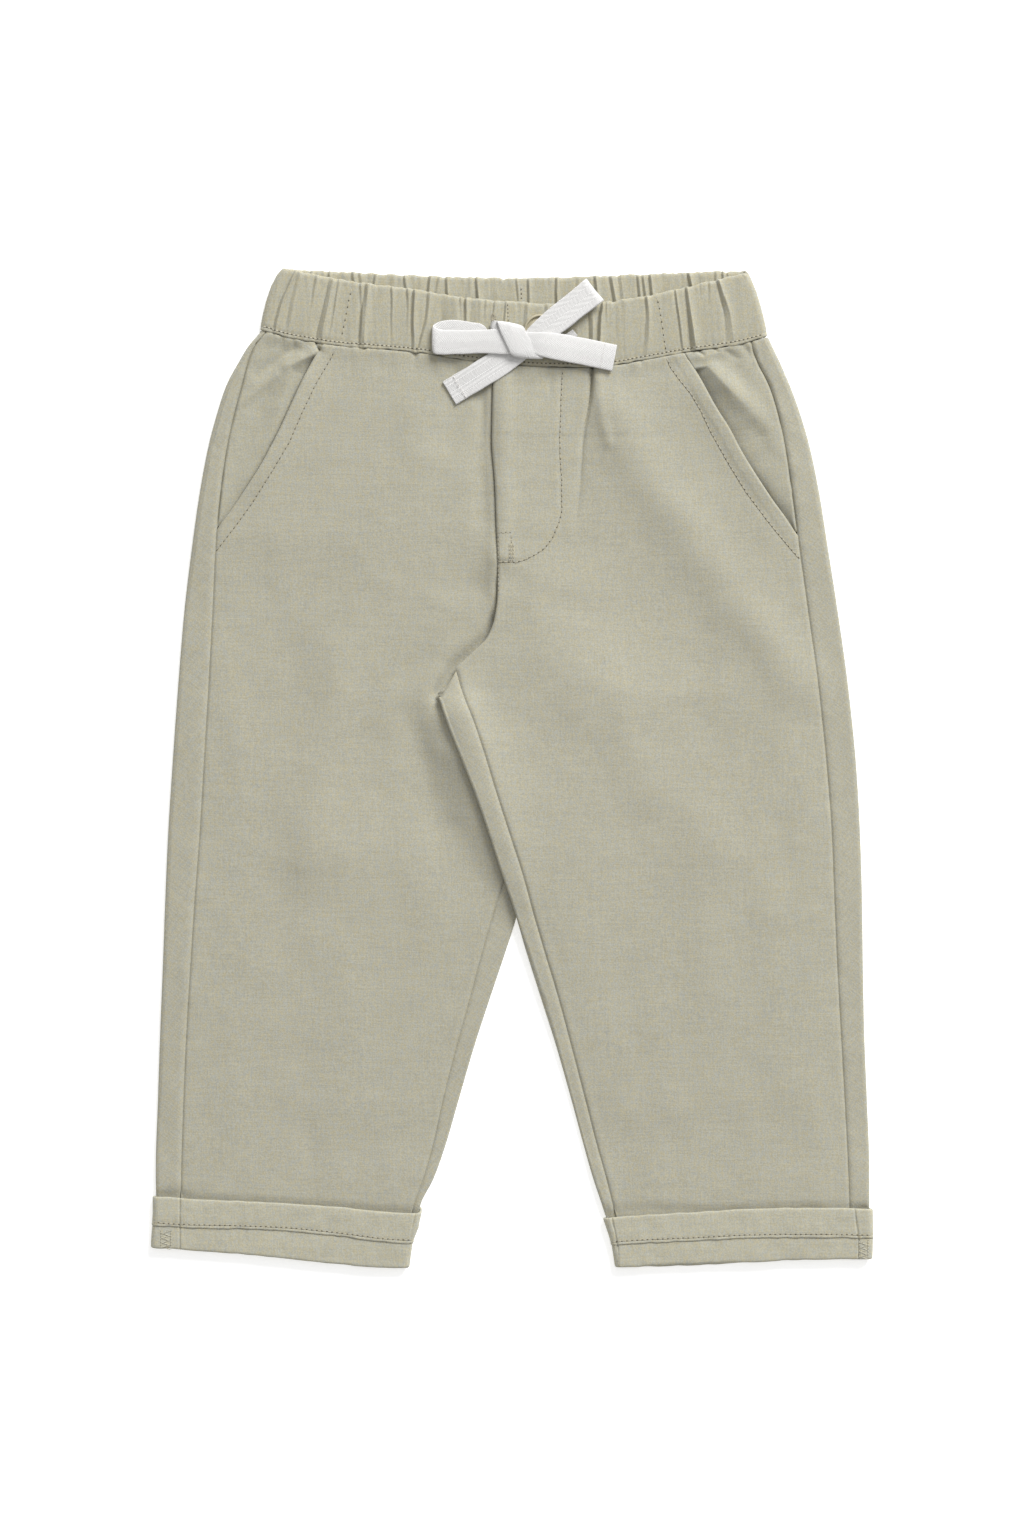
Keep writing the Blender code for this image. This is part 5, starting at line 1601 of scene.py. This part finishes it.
def cuff_course(side, place, millimetres, seams):
    """Once round the leg: the middle of the turn across the page, and the way out from it."""
    edges, out = CUFFS[side], OUTWARD[side]

    def turn_centre(table, direction):
        y = edges(place, edges.key[-1] if direction > 0 else edges.key[0]) + millimetres
        return table(side + "_fold", y) - direction * (HALF + CUFF_RADIUS)

    outer_x, inner_x = turn_centre(SIDES, out), turn_centre(INNER, -out)
    near = [(seam + np.array(SEAM_COLUMNS) - inner_x) / (outer_x - inner_x) for seam in seams]
    share = np.sort(np.clip(np.concatenate((np.linspace(0, 1, 150), *near)), 0, 1))
    base = np.concatenate((
        mix(inner_x, outer_x, share), np.full(TURN_STEPS, outer_x),
        np.linspace(outer_x, inner_x, BACK_STEPS), np.full(TURN_STEPS, inner_x),
    ))
    up = math.pi / 2
    bends = out * np.arange(1, TURN_STEPS + 1) / (TURN_STEPS + 1) * math.pi
    angle = np.concatenate((np.full(len(share), up), up - bends, np.full(BACK_STEPS, -up), -up - bends))
    return base, angle


def cuff_y(side, place, millimetres, x, on_face):
    """Height up the page of a ring, whose edges are a little uneven."""
    y = CUFFS[side](place, x) + millimetres + 0.16 * waver(x, 4.4, 71) + 0.1 * waver(x, 11, 72)
    if place == "hem":
        y = y + 0.14 * waver(x, 2.6, 73)
    if place == "top" and side == "right":
        y = y + 3.4 * fade(x, -53, -43) * (1 - on_face)
    if place == "bottom" and side == "left":
        # the back of the foot shows a little below the front
        y = y + fade(x, 53, 67) * fade(x, 114, 90) * (0.95 * on_face - 0.15)
    return y


def cuff_relief(place, millimetres, x, y, seams):
    """The uneven face of the turn-up, with the seams of the leg in it."""
    relief = 0.16 * rumple(x, y, 9, 74) + 0.1 * rumple(x, y, 3.6, 75)
    for seam in seams:
        beyond = x - seam
        relief -= (0.34 + 0.12 * waver(y, 1.6, 78)) * bump(beyond, 0.5)
        relief += 0.24 * fade(beyond, 0, 0.8) * np.exp(-np.abs(beyond) / 2.4)
    if place == "hem" and 0 < millimetres < 3:
        relief += 0.1 * waver(x, 1.9, 76)
    if place == "top":
        relief += 0.12 * waver(x, 5, 77)
    return relief


def cuff_ring(side, place, millimetres, away):
    """One ring round the leg. Its underside and its lining lie flat."""
    seams = cuff_seams(side, place, millimetres)
    base, angle = cuff_course(side, place, millimetres, seams)
    rise = np.sin(angle)
    on_face = 0.5 + 0.5 * rise
    hem = max(away - LAYER - HALF, 0) * on_face
    reach = CUFF_RADIUS + min(away, LAYER + HALF) + hem
    x = base + reach * np.cos(angle)
    y = cuff_y(side, place, millimetres, x, on_face)
    z = (CUFF_FRONT_Z + CUFF_BACK_Z) / 2 + reach * rise
    if away > LAYER:
        z = z + fade(rise, 0.5, 1) * cuff_relief(place, millimetres, x, y, seams)
    return np.stack((x, y, z), axis=-1)


def turn_up(side):
    """The foot of the leg, turned outwards, as one closed ring of cloth."""
    rings = np.stack([cuff_ring(side, *row) for row in cuff_profile()])
    mesh = grid_mesh("turn_up_" + side, rings, wrap_rows=True, wrap_columns=True)
    return piece("turn_up_" + side, mesh, LINEN_CUFF, "linen", "turn_up_" + side)


# ---- button
# The button's profile: shares of its radius and of its height.
BUTTON_PROFILE = (
    (0.02, 0.66), (0.66, 0.66), (0.73, 0.58), (0.77, 0.36), (0.8, 0.34), (0.835, 0.6), (0.86, 0.92),
    (0.895, 1), (0.93, 0.98), (0.965, 0.84), (0.99, 0.6), (1, 0.4), (0.97, 0.12), (0.87, 0), (0.02, 0),
)


def waist_button():
    """A turned resin button with a raised rim."""
    x, y, z = BUTTON_AT
    angles = np.linspace(0, 2 * math.pi, 72, endpoint=False)
    radius, height = np.transpose(BUTTON_PROFILE)[:, :, None]
    x, y = x + BUTTON_RADIUS * radius * np.cos(angles), y + BUTTON_RADIUS * radius * np.sin(angles)
    points = np.stack((x, y, z + BUTTON_THICK * height + 0 * x), axis=-1)
    mesh = grid_mesh("button", points, wrap_columns=True, caps=True)
    return piece("button", mesh, BUTTON, "button", "button")


# ---- all the sewing
# The stitches' pitch, length and width, and the size of the needle holes' dark marks of painted shade.
BAND_STITCH = (1.95, 1.25, 0.46, 0.72)
DASH_STITCH = (3, 1.6, 0.3, 0.66)
EDGE_STITCH = (2, 1.2, 0.3, 0.45)
TACK_STITCH = (1.7, 1.2, 0.46, 0.45)
HEM_STITCH = (2.3, 1.6, 0.42, 0.66)
STITCH_ABOVE_SEAM = 1.7
STITCH_ABOVE_HEM = 1.35


def line_above(table, place, start, end, above, count):
    """Points a little above an edge that is given by a table."""
    x = np.linspace(start, end, count)
    return np.stack((x, table(place, x) + above), axis=-1)


def sew(cloth):
    """All rows of topstitching, lying on the cloth under them."""
    height = cloth_below(cloth)
    sew_lines(
        "waistband_stitches", height, LIGHT_THREAD,
        (line_above(WAIST, "seam", -111.5, 113, STITCH_ABOVE_SEAM, 120), BAND_STITCH),
        (((-71.9, 215), (-73, 211), (-74.7, 202.3), (-76.6, 193.2)), DASH_STITCH),
        (((65.2, 211.4), (66.7, 205.3), (68, 196.4), (69.2, 188)), DASH_STITCH),
        (((-1.9, 209), (-1.5, 199)), (1.7, 0.9, 0.3, 0.6)),
        (((4.2, 216.6), (4.4, 210.2)), BAND_STITCH),
    )
    sew_lines(
        "front_stitches", height, THREAD,
        (POCKET_STITCH["right"], (2.5, 1.8, 0.42, 0.62)),
        (POCKET_STITCH["left"], (2.3, 1.7, 0.46, 0.66)),
        (FLY_STITCH, (2.4, 1.7, 0.44, 0.62)),
        (((-6.2, 105.5), (0.3, 105.5)), EDGE_STITCH),
        (((-0.2, 104.6), (-0.2, 100.2)), EDGE_STITCH),
        (((-6.1, 105), (-6, 79)), EDGE_STITCH),
        (((-1.1, 100.4), (-1.1, 92.2)), TACK_STITCH),
        (((-0.3, 100.2), (-0.3, 92.4)), TACK_STITCH),
        (((0.6, 100.4), (0.6, 92.2)), TACK_STITCH),
    )
    sew_lines(
        "hem_stitches", height, THREAD,
        (line_above(CUFFS["right"], "hem", -160.5, -45, STITCH_ABOVE_HEM, 90), HEM_STITCH),
        (line_above(CUFFS["left"], "hem", 45.5, 161, STITCH_ABOVE_HEM, 90), HEM_STITCH),
    )


def overlock(name, cuff, left, right, low, high):
    """The zigzag of thread over a seam's raw edge, which shows inside the turn-up, with dark marks of
    painted shade in the gaps between its threads.
    """
    height = cloth_below([cuff])
    stitches, gap_shades = [], []
    width, middle = right - left, (left + right) / 2
    pitch, edge_pitch = 1.05, 1.3

    def lay(rows, x, y, above, *shape):
        rows.append(((x, y, height(x, y) + above), *shape))

    for k in range(int((high - low) / pitch)):
        way = 1 if k % 2 else -1
        at = middle + 0.2 * float(waver(k * 3, 2, 61))
        lay(stitches, at, low + k * pitch, 0.1, (width, 1.5 * way, 0), width, 0.36)
        # a dark mark of painted shade in the gap beside each zigzag
        at = middle + 0.25 * way * width
        lay(gap_shades, at, low + (k + 0.5) * pitch, 0.02, (width, 0.4, 0), 0.42 * width, 0.34)
    for edge in (left, right):
        for k in range(int((high - low) / edge_pitch)):
            lay(stitches, edge, low + 0.6 + k * edge_pitch, 0.1, (0.1, 1, 0), 1, 0.42)
            # and a dark mark of painted shade between the stitches along each edge
            lay(gap_shades, edge, low + 1.25 + k * edge_pitch, 0.02, (0.1, 1, 0), 0.5, 0.4)
    join_stitches(name, stitches, OVERLOCK)
    join_stitches(name + "_gap_shades", gap_shades, PAINTED_GAP_SHADE)


def eyelet(name, x, y, height):
    """A small sewn buttonhole in the casing, from which a string comes."""
    stitches = []
    for k in range(16):
        c, s = math.cos(k * math.pi / 8), math.sin(k * math.pi / 8)
        at = (x + 0.9 * c, y + 1.5 * s)
        stitches.append(((*at, height(*at) + STITCH_DEPTH), (c, s, 0), 1.3, 0.36))
    join_stitches(name, stitches, THREAD)


set_camera()
set_lights()
set_table()
drawstring(
    "drawstring_one", STRING_ONE, 11,
    "drawstring_left_lead", "drawstring_left_loop", "drawstring_right_tail",
)
drawstring(
    "drawstring_two", STRING_TWO, 12,
    "drawstring_right_lead", "drawstring_knot", "drawstring_right_loop", "drawstring_left_tail",
)
cloth = []
for side in ("right", "left"):
    cloth += [back_panel(side), front_panel(side), pocket_facing(side), turn_up(side)]
cloth.append(waistband("back", BACK_GATHERS, BAND_BACK_Z, -1, 81))
cloth.append(waistband("front", FRONT_GATHERS, BAND_FRONT_Z, 1, 91))
waist_button()
bpy.context.view_layer.update()
sew(cloth)
sheets = {made.name.split(".")[0]: made for made in cloth}
overlock("overlock_right", sheets["turn_up_right"], -157.7, -153.2, -216.2, -207.2)
overlock("overlock_left", sheets["turn_up_left"], 156.3, 160.2, -220.4, -212.2)
casing = cloth_below([sheets["waistband_front"]])
eyelet("eyelet_left", -8.4, 202.3, casing)
eyelet("eyelet_right", 28.5, 195.8, casing)
for name, width, length, area, held, rests_on, sewn_on in SHEETS:
    below, trims = [sheets[under] for under in rests_on], [bpy.data.objects[trim] for trim in sewn_on]
    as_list(below)
    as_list(trims)
